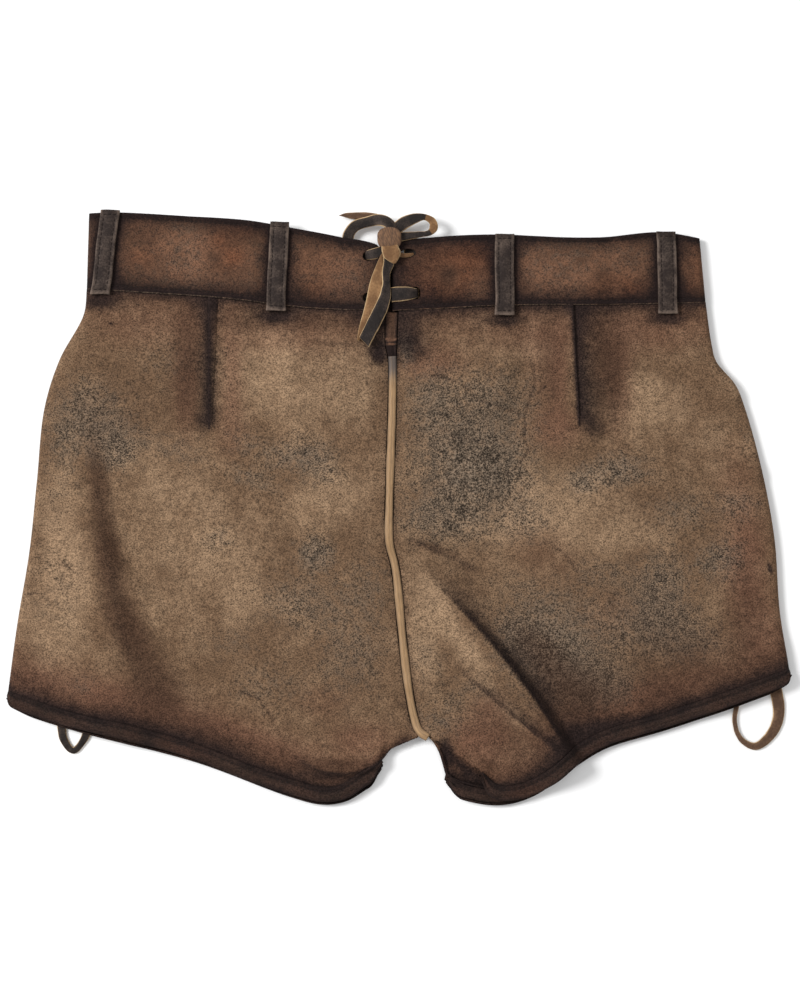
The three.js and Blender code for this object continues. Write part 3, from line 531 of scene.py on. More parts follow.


# Wear on the hide, and painted light and shade, as soft ellipses: centre, radii, turn in degrees, strength.
# Grime is the grey, speckled soil of handling and damp, rust the redder brown, pale the rubbed places and
# some painted highlight, brown a darker brown that is mostly painted shade in hollows, and dye the
# near-black stain rubbed into seams, darts and folds, with painted shade among it.
WEAR_COLUMNS = ("x", "y", "rx", "ry", "turn", "strength")
wear_and_painted_light = {
    "grime": [
        (50, 32, 44, 46, 0, 0.75), (57, 25, 22, 17, 0, 0.5), (27, -6, 30, 18, 0, 0.55),
        (87, -8, 22, 18, 0, 0.35), (21, 71, 18, 26, 0, 0.5), (67, 76, 30, 20, 0, 0.4),
        (146, 25, 22, 13, 0, 0.65), (122, 17, 12, 11, 0, 0.6), (-203, 60, 30, 28, 0, 0.6),
        (-187, 38, 16, 16, 0, 0.6), (-222, 30, 14, 30, 0, 0.3), (-72, 35, 26, 12, 10, 0.5),
        (-52, 28, 16, 15, 0, 0.5), (-100, 44, 14, 10, 0, 0.35), (-55, -30, 15, 13, 0, 0.7),
        (-66, -61, 32, 20, 0, 0.45), (-32, -94, 26, 34, 0, 0.45), (-86, -118, 28, 18, 0, 0.35),
        (-110, -88, 18, 12, 0, 0.35), (-20, -50, 16, 22, 0, 0.35), (107, -100, 36, 32, -40, 0.8),
        (80, -86, 22, 20, -40, 0.65), (133, -118, 28, 16, 0, 0.6), (173, -58, 22, 34, 0, 0.65),
        (212, -34, 18, 18, 0, 0.55), (192, -86, 28, 18, 0, 0.5), (133, -44, 22, 13, 0, 0.4),
        (186, -2, 24, 14, 0, 0.45), (152, -78, 20, 22, 0, 0.4), (5, 106, 6, 12, 0, 0.8),
        (27, -140, 22, 16, 0, 0.4), (-150, 40, 30, 10, -20, 0.35), (-95, 18, 26, 8, -20, 0.4),
        (-118, -20, 12, 9, 0, 0.4), (100, -60, 40, 14, -20, 0.35), (225, 2, 16, 12, 0, 0.4),
        (-210, -118, 16, 10, 0, 0.3), (46, -120, 14, 12, 0, 0.35), (20, -100, 12, 20, 0, 0.3),
        (-225, -60, 16, 30, 0, 0.25), (-150, 96, 24, 16, 0, 0.3), (235, 50, 12, 20, 0, 0.3),
    ],
    "rust": [
        (229, -34, 16, 44, 0, 0.8), (240, -80, 14, 26, 0, 0.6), (104, 52, 18, 16, 0, 0.7),
        (106, 90, 7, 36, 0, 0.6), (146, 84, 10, 40, 0, 0.6), (-110, 86, 8, 40, 0, 0.6),
        (-140, 80, 9, 36, 0, 0.6), (159, -127, 42, 12, 14, 0.7), (54, -153, 24, 18, 0, 0.8),
        (60, -134, 14, 14, 0, 0.6), (-25, -153, 22, 13, 0, 0.6), (-50, -128, 20, 12, 0, 0.35),
        (-243, -118, 20, 12, 0, 0.6), (-118, -153, 52, 14, -14, 0.8), (-190, -128, 40, 14, -12, 0.6),
        (22, 96, 24, 14, 0, 0.6), (87, 112, 30, 12, 0, 0.4), (166, 116, 40, 14, 0, 0.5),
        (-160, 118, 40, 14, 0, 0.4), (-72, 112, 40, 12, 0, 0.35), (-110, 50, 14, 20, 0, 0.35),
        (95, 92, 14, 30, 0, 0.4), (222, 20, 14, 26, 0, 0.35), (96, -30, 30, 20, -30, 0.3),
        (140, -70, 20, 16, 0, 0.3),
    ],
    # the narrow rows along the big fold's crest and down the left leg's ridge are painted highlight on their
    # lit sides
    "pale": [
        (-85, 96, 24, 30, 0, 0.5), (-58, 70, 30, 20, 0, 0.4), (-219, -34, 14, 60, 3, 0.75),
        (-232, -86, 16, 32, 0, 0.6), (-131, -34, 40, 42, 0, 0.4), (-39, 6, 28, 22, 0, 0.45),
        (107, 4, 34, 22, 0, 0.6), (135, -16, 40, 15, 0, 0.5), (24, -62, 8, 22, 22, 0.8),
        (44, -92, 8, 24, 38, 0.7), (18, -88, 10, 30, 8, 0.6), (64, -126, 6, 20, 42, 0.5),
        (160, 72, 26, 30, 0, 0.4), (80, 104, 26, 9, 0, 0.4), (-150, 20, 30, 30, 0, 0.35),
        (-30, 100, 22, 26, 0, 0.3), (62, -12, 20, 14, 0, 0.4), (-100, -60, 24, 20, 0, 0.3),
        (200, 40, 20, 26, 0, 0.3),
    ],
    # mostly painted shade: down the left leg's valley, below the fold crests, beside the darts and under the
    # waistband
    "brown": [
        (-197, 12, 9, 34, 8, 0.7), (-190, -36, 11, 32, 10, 0.8), (-176, -84, 14, 32, 28, 0.85),
        (-158, -122, 20, 24, 30, 0.75), (-120, -158, 60, 10, -15, 0.6), (-42, -170, 24, 6, 0, 0.7),
        (114, -128, 28, 26, -40, 0.8), (92, -96, 16, 30, 38, 0.6), (24, -27, 18, 4, -14, 0.55),
        (44, -38, 12, 5, -34, 0.5), (-138, 96, 13, 40, 0, 0.7), (137, 90, 16, 42, 0, 0.8),
        (100, 94, 9, 34, 0, 0.45), (-60, 122, 70, 6, 0, 0.5), (212, 118, 9, 16, 10, 0.5),
        (-216, -6, 4, 22, 60, 0.2), (0, -157, 10, 5, 45, 0.8), (180, -100, 60, 30, 14, 0.45),
        (230, -60, 12, 40, 0, 0.4), (-180, 70, 50, 34, 0, 0.3), (70, -150, 20, 16, 0, 0.3),
        (60, -128, 20, 22, 0, 0.25), (-30, -110, 30, 34, 0, 0.2), (240, 20, 8, 50, 0, 0.3),
        (150, -60, 40, 24, 0, 0.25),
    ],
    # painted shade among these: under the right leg's lifted inner edge, below the left hem's crest, in the
    # pits and under the small fold beside the gusset
    "dye_and_shade": [
        (6, 114, 13, 18, 0, 0.8), (-14, 107, 10, 10, 0, 0.8), (15, 104, 12, 10, 0, 0.45),
        (-16, 122, 18, 8, 0, 0.7), (-198, 136, 15, 7, 0, 0.8), (-81, 127, 15, 6, 0, 0.9),
        (70, 124, 14, 6, 0, 0.8), (178, 125, 14, 6, 0, 0.8), (118, -154, 20, 14, 20, 0.9),
        (136, -150, 24, 8, 18, 0.75), (129, 52, 10, 8, 0, 0.6), (-129, 56, 7, 8, 0, 0.5),
        (31, -163, 6, 14, 0, 0.95), (45, -173, 22, 4, -42, 0.9), (-13, 101, 6, 8, 0, 0.9),
        (-190, 121.5, 1.6, 1.2, 0, 1), (1, -157.5, 10, 4, 42, 0.8), (245, -40, 2, 5, 20, 0.9),
        (-46, -177, 22, 4, -4, 0.6), (-60, 109, 20, 1.6, -2, 0.3), (-36, 107.5, 14, 1.6, -2, 0.45),
    ],
}


def worn(kind, x, y):
    """The strength of one kind of mark from the table above; some kinds hold painted light and shade."""
    total = 0 * x
    for row in wear_and_painted_light[kind]:
        w = dict(zip(WEAR_COLUMNS, row))
        turn = np.radians(w["turn"])
        dx, dy = x - w["x"], y - w["y"]
        a = (dx * np.cos(turn) + dy * np.sin(turn)) / w["rx"]
        b = (-dx * np.sin(turn) + dy * np.cos(turn)) / w["ry"]
        total = together(total, w["strength"] * falling(a * a + b * b, 1, 1.3))
    return total


# The two darts of the back: the stitched line of each, and how dark the halo beside it is, partly dye and
# partly painted shade.
DART_COLUMNS = ("side", "x0", "y0", "x1", "y1", "reach_out", "reach_in", "strength")
darts = [
    ("left", -125.5, 136, -125.5, 52, 8, 9, 0.95),
    ("right", 115.5, 131, 120, 54, 18, 4, 1),
]


def dart_dye_and_shade(x, y):
    """The dark halo beside the darts, partly dyed and partly painted shade."""
    total = 0 * x
    for row in darts:
        d = dict(zip(DART_COLUMNS, row))
        t = (d["y0"] - y) / (d["y0"] - d["y1"])
        away = (x - mix(d["x0"], d["x1"], t)) * -halves[d["side"]]["sign"]
        reach = np.where(away > 0, d["reach_in"], d["reach_out"]) * (0.85 + 0.2 * ripple(x, y, 9, 12))
        ends = ease((t + 0.2) / 0.1) * (1 - ease((t - 0.9) / 0.18))
        strength = d["strength"] * falling(np.abs(away), reach, 1.5)
        total = np.maximum(total, strength * ends)
    return total


def marks_at(x, y, from_waist, from_hem, from_seam):
    """The marks of the hide at each point, given its distance from the waist seam, hem and seat seam: its
    stains, soil and rubbing, and painted shade below the waistband's edge and beside the welt, the darts and
    the folds.
    """
    cloud = 0.5 + 0.5 * ripple(x, y, 12, 11)
    # darker just below the waistband: dye, and painted shade under the band's edge
    waist_dye_and_shade = 0.85 * falling(from_waist, mix(4, 10, cloud), 1.3)
    crest = falling(x + 42, 28) * falling(y + 172, 18)
    hem_dye = 0.9 * falling(from_hem, mix(6, 13, cloud) * (1 - 0.7 * crest), 1.4)
    # darker beside the seat seam: dye, and painted shade beside the raised welt
    seam_dye_and_shade = 0.4 * falling(from_seam, 3, 1.5)
    cracked = 0.6 * falling(from_cracks(x, y), CRACK_WIDTH)
    stained_and_shaded = together(worn("dye_and_shade", x, y), waist_dye_and_shade, hem_dye, seam_dye_and_shade)
    # the darts' halos are dye and painted shade; the folds' darkening is painted shade
    dye_and_shade = together(stained_and_shaded, 0.95 * dart_dye_and_shade(x, y), cracked, fold_shade(x, y))
    rust = together(worn("rust", x, y), 0.8 * falling(from_hem, 30), 0.5 * falling(from_waist, 24))
    browned_hem = 0.75 * falling(from_hem, mix(16, 26, cloud), 1.6)
    brown = together(worn("brown", x, y), browned_hem, 0.5 * falling(from_waist, mix(12, 22, cloud), 1.6))
    untouched = {kind: worn(kind, x, y) for kind in ("grime", "pale")}
    return {"dye_and_shade": dye_and_shade, "rust": rust, "brown": brown, **untouched}


# Worn suede: chamois-soft split leather, dyed brown and aged. It has no gloss at all, a short nap
# that speckles light and dark, and broken grey patches where it was handled. The nap itself is a few
# tenths of a millimetre and too fine to show, so it is drawn as tufts of 1 mm.
NAP = 1.0
MOTTLE = 5.0
CLOUD = 26.0
SOIL = "#75685a"


def suede(name, light, mid, grimy, burnt, rusty, deep, contrast=1.0, edge=(0.5, 1.45)):
    """A suede with its lighter and darker browns, its four stains, how strongly the nap speckles it, and
    between which sums of dark marks and speckle it turns burnt. The light, burnt and deep browns also paint
    light and shade."""
    material, tree = new_material(name)
    place = node(tree, "ShaderNodeTexCoord").outputs["Object"]
    noises = []
    for size, detail, rough, bend in ((NAP, 2, 0.8, 0), (MOTTLE, 5, 0.8, 0.3), (CLOUD, 5, 0.65, 0)):
        inputs = {"Vector": place, "Scale": 1000 / size, "Detail": detail}
        inputs.update({"Roughness": rough, "Distortion": bend})
        noises.append(node(tree, "ShaderNodeTexNoise", inputs).outputs[0])
    nap, mottle, cloud = noises
    dye_and_shade, rust, grime, pale, brown = [
        node(tree, "ShaderNodeAttribute", attribute_name=mark).outputs["Fac"]
        for mark in ("dye_and_shade", "rust", "grime", "pale", "brown")
    ]

    # Each layer: the colour it blends in, or None where it only lightens and darkens; the weighted sum of
    # wear and speckle that it follows; and the sums and strengths between which it sets in.
    fine, coarse = 0.42 * contrast, 0.2 * contrast
    layers = [
        # pale carries painted highlight as well as rubbing
        (light, [(pale, 0.55), (cloud, 1.0)], (0.38, 0.95, 0.0, 1.0)),
        (rusty, [(rust, 0.75), (mottle, 0.4)], (0.1, 1.1, 0.0, 0.85)),
        # soil greys the leather first and then shows as separate dark specks
        (SOIL, [(grime, 1.0), (mottle, 1.6)], (0.9, 1.9, 0.0, 0.8)),
        (grimy, [(grime, 0.62), (nap, 1.8), (mottle, 1.3), (cloud, 0.6)], (1.98, 2.62, 0.0, 0.95)),
        # deep follows the brown mark, mostly painted shade in hollows
        (deep, [(brown, 1.0), (mottle, 0.3)], (0.15, 1.15, 0.0, 0.9)),
        # burnt follows the dark mark of dye and painted shade
        (burnt, [(dye_and_shade, 1.0), (nap, 0.4), (mottle, 0.5)], (*edge, 0.0, 1.0)),
        (None, [(nap, 1.0)], (0.36, 0.64, 1 + fine, 1 - fine)),
        (None, [(mottle, 1.0)], (0.34, 0.66, 1 + coarse, 1 - coarse)),
    ]
    colour = linear(mid)
    for over, weights, limits in layers:
        total = 0.0
        for value, weight in weights:
            inputs = {0: value, 1: weight, 2: total}
            total = node(tree, "ShaderNodeMath", inputs, operation="MULTIPLY_ADD").outputs[0]
        inputs = dict(enumerate((total, *limits)))
        part = node(tree, "ShaderNodeMapRange", inputs, interpolation_type="SMOOTHSTEP").outputs[0]
        inputs = {0: part, 6: colour, 7: linear(over)} if over else {0: 1.0, 6: colour, 7: part}
        blend = "MIX" if over else "MULTIPLY"
        colour = node(tree, "ShaderNodeMix", inputs, data_type="RGBA", blend_type=blend).outputs[2]
    relief = node(tree, "ShaderNodeBump", {"Height": nap, "Strength": 0.7, "Distance": 0.0005}).outputs[0]
    looks = {"Base Color": colour, "Roughness": 0.95, "Normal": relief, "Specular IOR Level": 0.1}
    shade = node(tree, "ShaderNodeBsdfPrincipled", looks)
    node(tree, "ShaderNodeOutputMaterial", {"Surface": shade.outputs[0]})
    return material


body_suede = suede("worn_brown_suede", "#846c55", "#5e4937", "#2e261f", "#241b19", "#614234", "#3c2a20")

PITCH = {"back": 1.5, "front": 3.4}
panels = {}
for side in halves:
    for layer in ("front", "back"):
        panel = cut_panel(side, layer)
        pitch = PITCH[layer]
        u = steps(panel["width"](0.5), pitch, ROLL_STEPS, ROLL_STEPS)
        v = steps(PANEL_LENGTH, pitch)
        plan = panel["at"](u, v)
        x, y = plan[..., 0], plan[..., 1]
        uu, vv = np.broadcast_arrays(u[None, :], v[:, None])
        z = height_on(panel, uu, vv, x, y, BACK_LEVEL, BACK_SAG)
        outer = np.dstack([x, y, z])
        facing = panel["sign"] if layer == "front" else -panel["sign"]
        inner = wall_inside(outer, LEATHER, facing, turned(panel, uu, vv), 1 if layer == "back" else -1)
        long = np.linalg.norm(np.diff(plan, axis=0), axis=-1).sum(axis=0)[None, :]
        from_seam = np.where(vv < panel["crotch"], uu * panel["width"](vv), 60)
        marks = marks_at(x, y, vv * long, (1 - vv) * long, from_seam)
        name = f"{layer}_{side}"
        piece = skin(name + "_suede", outer, inner, facing, marks)
        finish(piece, name, "suede", body_suede)
        panels[name] = {**panel, "piece": piece}

# ---------- waistband and hems ----------
# The waistband is two strips of the same leather folded double, 45 mm deep, which run from the centre
# back round the side to the centre front. Each hem is turned up 10 mm round its leg. Both are topstitched
# with dark thread, puff up between the rows of stitches, and are darkest along their edges.
DOUBLE = 2.6
TUCK = 0.5
BAND_DEPTH = 45.0
HEM_DEPTH = 10.0
HEM_CORNER = 7.0
FRONT_HEM_DROP = 2.0
FRONT_MEETING = -3.0
STITCH_INSET = 3.0
BEAD_SIDES = 6
STRIP_PITCH = 1.15
BETWEEN_LAYERS = 4.2

# where each belt loop of the back starts and ends: x and y of its top and of its foot
loop_places = [
    (-190, 196.5, -196.5, 141), (-78.5, 188.5, -81, 130), (70, 180.5, 70, 127), (176.5, 182, 177.5, 128),
]

band_suede = suede(
    "burnished_band_suede", "#694b39", "#473327", "#332a25", "#1e1615", "#6b4029", "#37261e", 0.6, (0.4, 1.4)
)
hem_suede = suede("burnt_hem_suede", "#45342c", "#30241e", "#221b19", "#1d1615", "#4b3127", "#30231d", 0.8)

# Linen thread, twisted, waxed and dyed dark brown, then dulled by wear: fine, hard and nearly matt.
thread_brown, tree = new_material("waxed_linen_thread")
looks = {"Base Color": linear("#1f1816"), "Roughness": 0.8, "Specular IOR Level": 0.15}
shade = node(tree, "ShaderNodeBsdfPrincipled", looks)
node(tree, "ShaderNodeOutputMaterial", {"Surface": shade.outputs[0]})


def solid(name, points, faces, smooth=True):
    """A piece from its points, in millimetres, and its faces."""
    mesh = bpy.data.meshes.new(name)
    mesh.from_pydata((np.reshape(points, (-1, 3)) * MM).tolist(), [], faces)
    mesh.polygons.foreach_set("use_smooth", [smooth] * len(faces))
    return placed(name, mesh)


def tube_faces(start, rings, sides):
    """The faces of a closed tube whose rings of points follow each other from start."""
    rows = [range(start + r * sides, start + (r + 1) * sides) for r in range(rings)]
    faces = []
    for low, high in zip(rows, rows[1:]):
        for k in range(sides):
            ahead = (k + 1) % sides
            faces.append((low[k], low[ahead], high[ahead], high[k]))
    return [*faces, tuple(rows[0][::-1]), tuple(rows[-1])]


def sew(name, lines, thick=0.6, long=2.5, pitch=3.2):
    """Rows of single stitches, each a short bead of thread, along lines of points."""
    ring = np.linspace(0, 2 * np.pi, BEAD_SIDES, endpoint=False)
    profile = [(-1, 0.2, -0.35), (-0.65, 0.85, 0), (0, 1, 0.1), (0.65, 0.85, 0), (1, 0.2, -0.35)]
    points, faces = [], []
    for line in lines:
        along = np.concatenate([[0], np.cumsum(np.linalg.norm(np.diff(line, axis=0), axis=1))])
        for middle in np.arange(pitch / 2, along[-1] - pitch / 4, pitch):
            behind, here, ahead = [
                np.array([np.interp(middle + d, along, line[:, k]) for k in range(3)])
                for d in (-0.5, 0, 0.5)
            ]
            way = ahead - behind
            way /= max(np.linalg.norm(way), 1e-6)
            side = np.cross(way, (0, 0, 1))
            side /= max(np.linalg.norm(side), 1e-6)
            rise = np.cross(side, way)
            start = len(points)
            for along_bead, size, dip in profile:
                centre = here + way * along_bead * long / 2 + rise * dip * thick
                points += [centre + (side * np.cos(a) + rise * np.sin(a)) * size * thick / 2 for a in ring]
            faces += tube_faces(start, len(profile), BEAD_SIDES)
    made = solid(name, points, faces)
    made.data.materials.append(thread_brown)
    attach(made, "root")


def edge_relief(near, inset=STITCH_INSET):
    """How far a turned and stitched edge lies below the strip's middle, by the distance from it."""
    turn = -0.9 * (1 - rolled(near * SIDE_ROLL / 1.6))
    groove = -0.6 * falling(near - inset, 0.8)
    return turn + groove - 0.35 * (1 - ease((near - inset) / 9))


def strip_grid(side, shares, edge, v, depth, seed):
    """A strip that runs out along the back, round the side fold and back along the front: its outer face,
    how far each point has turned, and each point's distance from the middle and up the strip."""
    runs = []
    for layer in ("back", "front"):
        panel = panels[f"{layer}_{side}"]
        u = steps(float(panel["width"](v)), STRIP_PITCH, ROLL_STEPS, ROLL_STEPS)
        plan = edge(panel, u, shares)
        x, y = plan[..., 0], plan[..., 1]
        uu, across = np.broadcast_arrays(u[None, :], shares[:, None])
        roll = np.broadcast_to(turned(panel, uu, v), x.shape)
        z = height_on(panel, uu, v, x, y, BAND_LEVEL + 0.4)
        near = np.minimum(across, 1 - across) * depth
        relief = edge_relief(near) + 0.22 * ripple(x, y, 17, seed) * ease(near / 5) - 0.1
        z = z + np.where(layer == "back", 1, -1) * relief * roll
        run = [np.dstack([x, y, z]), roll, np.dstack([uu * panel["width"](v), across * depth])]
        runs.append([part if layer == "back" else part[:, ::-1] for part in run])
    return [np.concatenate(parts, 1) for parts in zip(*runs)]


# The lacing holes, punched through the band's two layers at the centre back: centre and radii.
eyelets = {
    "left": [(-20, 166, 3.6, 3.3), (-20, 138.5, 3.6, 3.2)],
    "right": [(6.5, 168, 5, 2.8), (11.5, 141.5, 3, 4.2)],
}


PUNCH_SIDES = 32
PUNCH_TOP = 40


def vertices_of(mesh):
    """Every vertex of a mesh, in metres."""
    points = np.zeros(len(mesh.vertices) * 3)
    mesh.vertices.foreach_get("co", points)
    return points.reshape(-1, 3)


def punch(piece, holes, from_level):
    """Cuts oval holes down to from_level(x, y) into a piece, and copies its vertex marks to the new edges.
    """
    marks = [a.name for a in piece.data.attributes if a.data_type == "FLOAT" and a.domain == "POINT"]
    before = vertices_of(piece.data)
    known = {}
    for mark in marks:
        known[mark] = np.zeros(len(before))
        piece.data.attributes[mark].data.foreach_get("value", known[mark])
    ring = np.linspace(0, 2 * np.pi, PUNCH_SIDES, endpoint=False)
    cutters = []
    for x, y, rx, ry in holes:
        sides = [(x + rx * np.cos(a), y + ry * np.sin(a)) for a in ring]
        points = [(px, py, z) for z in (from_level(x, y), PUNCH_TOP) for px, py in sides]
        cutters.append(solid("punch", points, tube_faces(0, 2, PUNCH_SIDES), smooth=False))
        hole = piece.modifiers.new("hole", "BOOLEAN")
        hole.object = cutters[-1]
        hole.solver = "MANIFOLD"
    shape = piece.evaluated_get(bpy.context.evaluated_depsgraph_get())
    piece.data = bpy.data.meshes.new_from_object(shape)
    piece.modifiers.clear()
    piece.data.materials.clear()
    piece.data.polygons.foreach_set("material_index", [0] * len(piece.data.polygons))
    for cutter in cutters:
        bpy.data.objects.remove(cutter)
    after = vertices_of(piece.data)
    for mark in marks:
        layer = piece.data.attributes.get(mark) or piece.data.attributes.new(mark, "FLOAT", "POINT")
        values = np.zeros(len(after))
        layer.data.foreach_get("value", values)
        for x, y, rx, ry in holes:
            near, source = [
                np.nonzero(np.hypot(p[:, 0] - x * MM, p[:, 1] - y * MM) < (max(rx, ry) + reach) * MM)[0]
                for p, reach in ((after, 0.4), (before, 3))
            ]
            away = ((after[near, None] - before[None, source]) ** 2).sum(-1)
            values[near] = known[mark][source[away.argmin(1)]]
        layer.data.foreach_set("value", values.astype(np.float32))


def band_edge(side):
    """The plan of one half of the waistband, as a function of a panel, u and the share of its depth."""
    top = drawn_line(halves[side]["band_top"])[0]

    def edge(panel, u, shares):
        low, high = panel["waist"](u)[None], top(u)[None]
        share = shares[:, None]
        y = mix(low[..., 1] - TUCK, high[..., 1], share)
        x = mix(low[..., 0], high[..., 0], share)
        front = panel["layer"] == "front"
        end = FRONT_MEETING + panel["sign"] * SEAM if front else halves[side]["band_end"]
        x = x + (1 - np.minimum(1, u * 8))[None] * (end - x)
        return np.dstack([x, y - front_dip(x) if front else y])

    return edge


def hem_edge(side):
    """The plan of one hem, which is square to the panel's bottom edge and narrows towards the inner leg."""
    sign = halves[side]["sign"]

    def edge(panel, u, shares):
        away = (1 - u) * panel["width"](1.0)
        inner = u * panel["width"](1.0)
        point, ahead = panel["bottom"](u), panel["bottom"](np.minimum(1, u + 0.004))
        behind = panel["bottom"](np.maximum(0, u - 0.004))
        way = (ahead - behind) / np.linalg.norm(ahead - behind, axis=-1, keepdims=True)
        corner = 1 - np.minimum(1, away / HEM_CORNER)
        turned_in = mix(0.2, 1, ease((inner + 2) / 17))
        narrowed = np.sqrt(np.maximum(0.12, 1 - corner**2)) * turned_in
        reach = shares[:, None] * HEM_DEPTH * narrowed[None] - TUCK
        drop = FRONT_HEM_DROP * shares[:, None] * ease(away / 20)[None] * (panel["layer"] == "front")
        x = point[:, 0] + sign * way[:, 1] * reach
        return np.dstack([x, point[:, 1] - sign * way[:, 0] * reach - drop])

    return edge


def from_loops(x, y):
    """Distance from the nearest belt loop's edge."""
    away = [np.abs(x - mix(x1, x0, (y - y1) / (y0 - y1))) - 6.2 for x0, y0, x1, y1 in loop_places]
    return np.maximum(0, np.min(away, axis=0))


for side, half in halves.items():
    sign = half["sign"]
    for kind in ("waistband", "hem"):
        is_band = kind == "waistband"
        edge = (band_edge if is_band else hem_edge)(side)
        depth = BAND_DEPTH if is_band else HEM_DEPTH
        fine = [0, 0.3, 0.8, 1.5, 2.1, 2.6, 3, 3.4, 3.9, 4.6]
        shares = steps(depth, 1.4, fine, fine) if is_band else np.linspace(0, 1, 17)
        v = 0.0 if is_band else 1.0
        seed = 21 if is_band else 22
        grid, roll, place = strip_grid(side, shares, edge, v, depth, seed)
        facing = sign if is_band else -sign
        x, y = grid[..., 0], grid[..., 1]
        from_end, up = place[..., 0], place[..., 1]
        cloud = 0.5 + 0.5 * ripple(x, y, 11, 31)
        broad = 0.5 + 0.5 * ripple(x, y, 28, 32)
        if is_band:
            low = falling(up, mix(6, 12, cloud), 1.3)
            high = falling(depth - up, mix(5, 10, cloud), 1.3)
            middle = falling(from_end, mix(12, 26, cloud)) * (0.9 if sign > 0 else 0.75)
            sides = 0.9 * falling(from_loops(x, y), mix(3, 9, cloud), 1.3)
            dye_and_shade = together(low, high, middle, sides, 0.25 * broad)
            raw = 1 - ease(up / 0.7)
            marks = {
                "dye_and_shade": dye_and_shade * (1 - raw), "rust": 0.75 * ease((broad - 0.35) / 0.4) * cloud * (1 - raw),
                "pale": 0.8 * cloud + 1.2 * raw, "grime": 0.35 * (1 - broad) + 0.9 * raw,
                "brown": 0.6 * (1 - cloud) * broad,
            }
        else:
            marks = {
                # lighter along the hem's puffed middle, about 6 mm up: a painted highlight
                "dye_and_shade": 0.55 + 0.4 * cloud - 0.3 * falling(up - 6, 2.5), "rust": 0.6 * broad,
                "pale": 0.5 * cloud, "grime": 0.3 * cloud,
            }
        inner = wall_inside(grid, DOUBLE, facing, roll)
        name = f"{kind}_{side}"
        piece = skin(name + "_leather", grid, inner, facing, marks)
        if is_band:
            punch(piece, eyelets[side], lambda x, y: BETWEEN_LAYERS + float(back_relief(x, y)))
        finish(piece, name, "dark_suede", band_suede if is_band else hem_suede)
        sewn = []
        for row in (STITCH_INSET, depth - STITCH_INSET) if is_band else (STITCH_INSET,):
            line = strip_grid(side, np.array([row / depth]), edge, v, depth, seed)[0][0]
            fold = int(np.argmax(line[:, 0] * sign))
            sewn += [line[:fold] + (0, 0, 0.12), line[fold + 1 :] - (0, 0, 0.05)]
        sew(name + "_leather_stitches", sewn)

# ---------- seat seam: gusset and welt ----------
# The seat seam is closed over a welt, a folded strip of smooth tan leather that stands up as a ridge
# between the two panels. Above it a small brown gusset fills the lacing slit and is tacked at its foot.
SEAM_PITCH = 1.1
seam_at, seam_length = drawn_line(centre_seam)


def seam_bar(start, end, reach_of, section, thickness):
    """A bar along the seat seam between two shares of its length: its upper face, lower face and wear.
    section gives its rows: a share of the half width, and a height."""
    share = np.linspace(start, end, int((end - start) * seam_length / SEAM_PITCH))
    p = seam_at(share)
    way = np.gradient(p[:, :2], axis=0)
    way /= np.linalg.norm(way, axis=1, keepdims=True)
    across, rise = np.array(section).T
    reach = reach_of(share, p[:, 2])[:, None]
    x = p[:, None, 0] - way[:, None, 1] * reach * across
    y = p[:, None, 1] + way[:, None, 0] * reach * across
    waver = 0.25 * ripple(x * 0 + share[:, None] * seam_length, y * 0 + across, 9, 41)
    z = BACK_LEVEL - SEAM_DIP + back_relief(p[:, 0], p[:, 1])[:, None] + rise + waver
    grid = np.dstack([x, y, z])
    along = np.broadcast_to(share[:, None] * seam_length, x.shape)
    return grid, grid - (0, 0, thickness), {"along": along, "across": np.broadcast_to(across, x.shape)}


# Vegetable-tanned calf, split thin and left undyed: smooth, tan, with fine lines drawn along it.
WELT_LINE = 0.7
WELT_START = 0.105
WELT_HALF = 2.75
WELT_THICKNESS = 1.9
welt_leather, tree = new_material("tan_calf_welt")
along = node(tree, "ShaderNodeAttribute", attribute_name="along").outputs["Fac"]
across = node(tree, "ShaderNodeAttribute", attribute_name="across").outputs["Fac"]
lengthwise = node(tree, "ShaderNodeMath", {0: along, 1: 0.12}, operation="MULTIPLY").outputs[0]
sideways = node(tree, "ShaderNodeMath", {0: across, 1: 2.7 / WELT_LINE}, operation="MULTIPLY").outputs[0]
place = node(tree, "ShaderNodeCombineXYZ", {0: lengthwise, 1: sideways}).outputs[0]
lines = node(tree, "ShaderNodeTexNoise", {"Vector": place, "Scale": 1.3, "Detail": 3.0}).outputs[0]
browns = {0: lines, 6: linear("#5d442c"), 7: linear("#b48f62")}
tan = node(tree, "ShaderNodeMix", browns, data_type="RGBA").outputs[2]
# It greys at its start, where it is stained, and darkens along its sides and middle groove with painted
# shade.
darkening_and_shade = node(tree, "ShaderNodeAttribute", attribute_name="dye_and_shade").outputs["Fac"]
tan = node(tree, "ShaderNodeMix", {0: darkening_and_shade, 6: tan, 7: linear("#4c423c")}, data_type="RGBA").outputs[2]
relief = node(tree, "ShaderNodeBump", {"Height": lines, "Strength": 0.5, "Distance": 0.0005}).outputs[0]
shade = node(tree, "ShaderNodeBsdfPrincipled", {"Base Color": tan, "Roughness": 0.62, "Normal": relief})
node(tree, "ShaderNodeOutputMaterial", {"Surface": shade.outputs[0]})

WELT = [
    (-1, -0.9), (-0.93, -0.1), (-0.75, 0.55), (-0.4, 1.0), (-0.05, 1.15), (0.15, 0.9), (0.3, 0.95),
    (0.6, 0.85), (0.85, 0.4), (0.96, -0.2), (1, -0.9),
]
grid, lower, marks = seam_bar(
    WELT_START, 1.0, lambda s, gap: WELT_HALF + 0.2 * np.sin(s * 40) * (s > 0.3), WELT, WELT_THICKNESS
)
far = (marks["along"] - marks["along"].min()) / seam_length
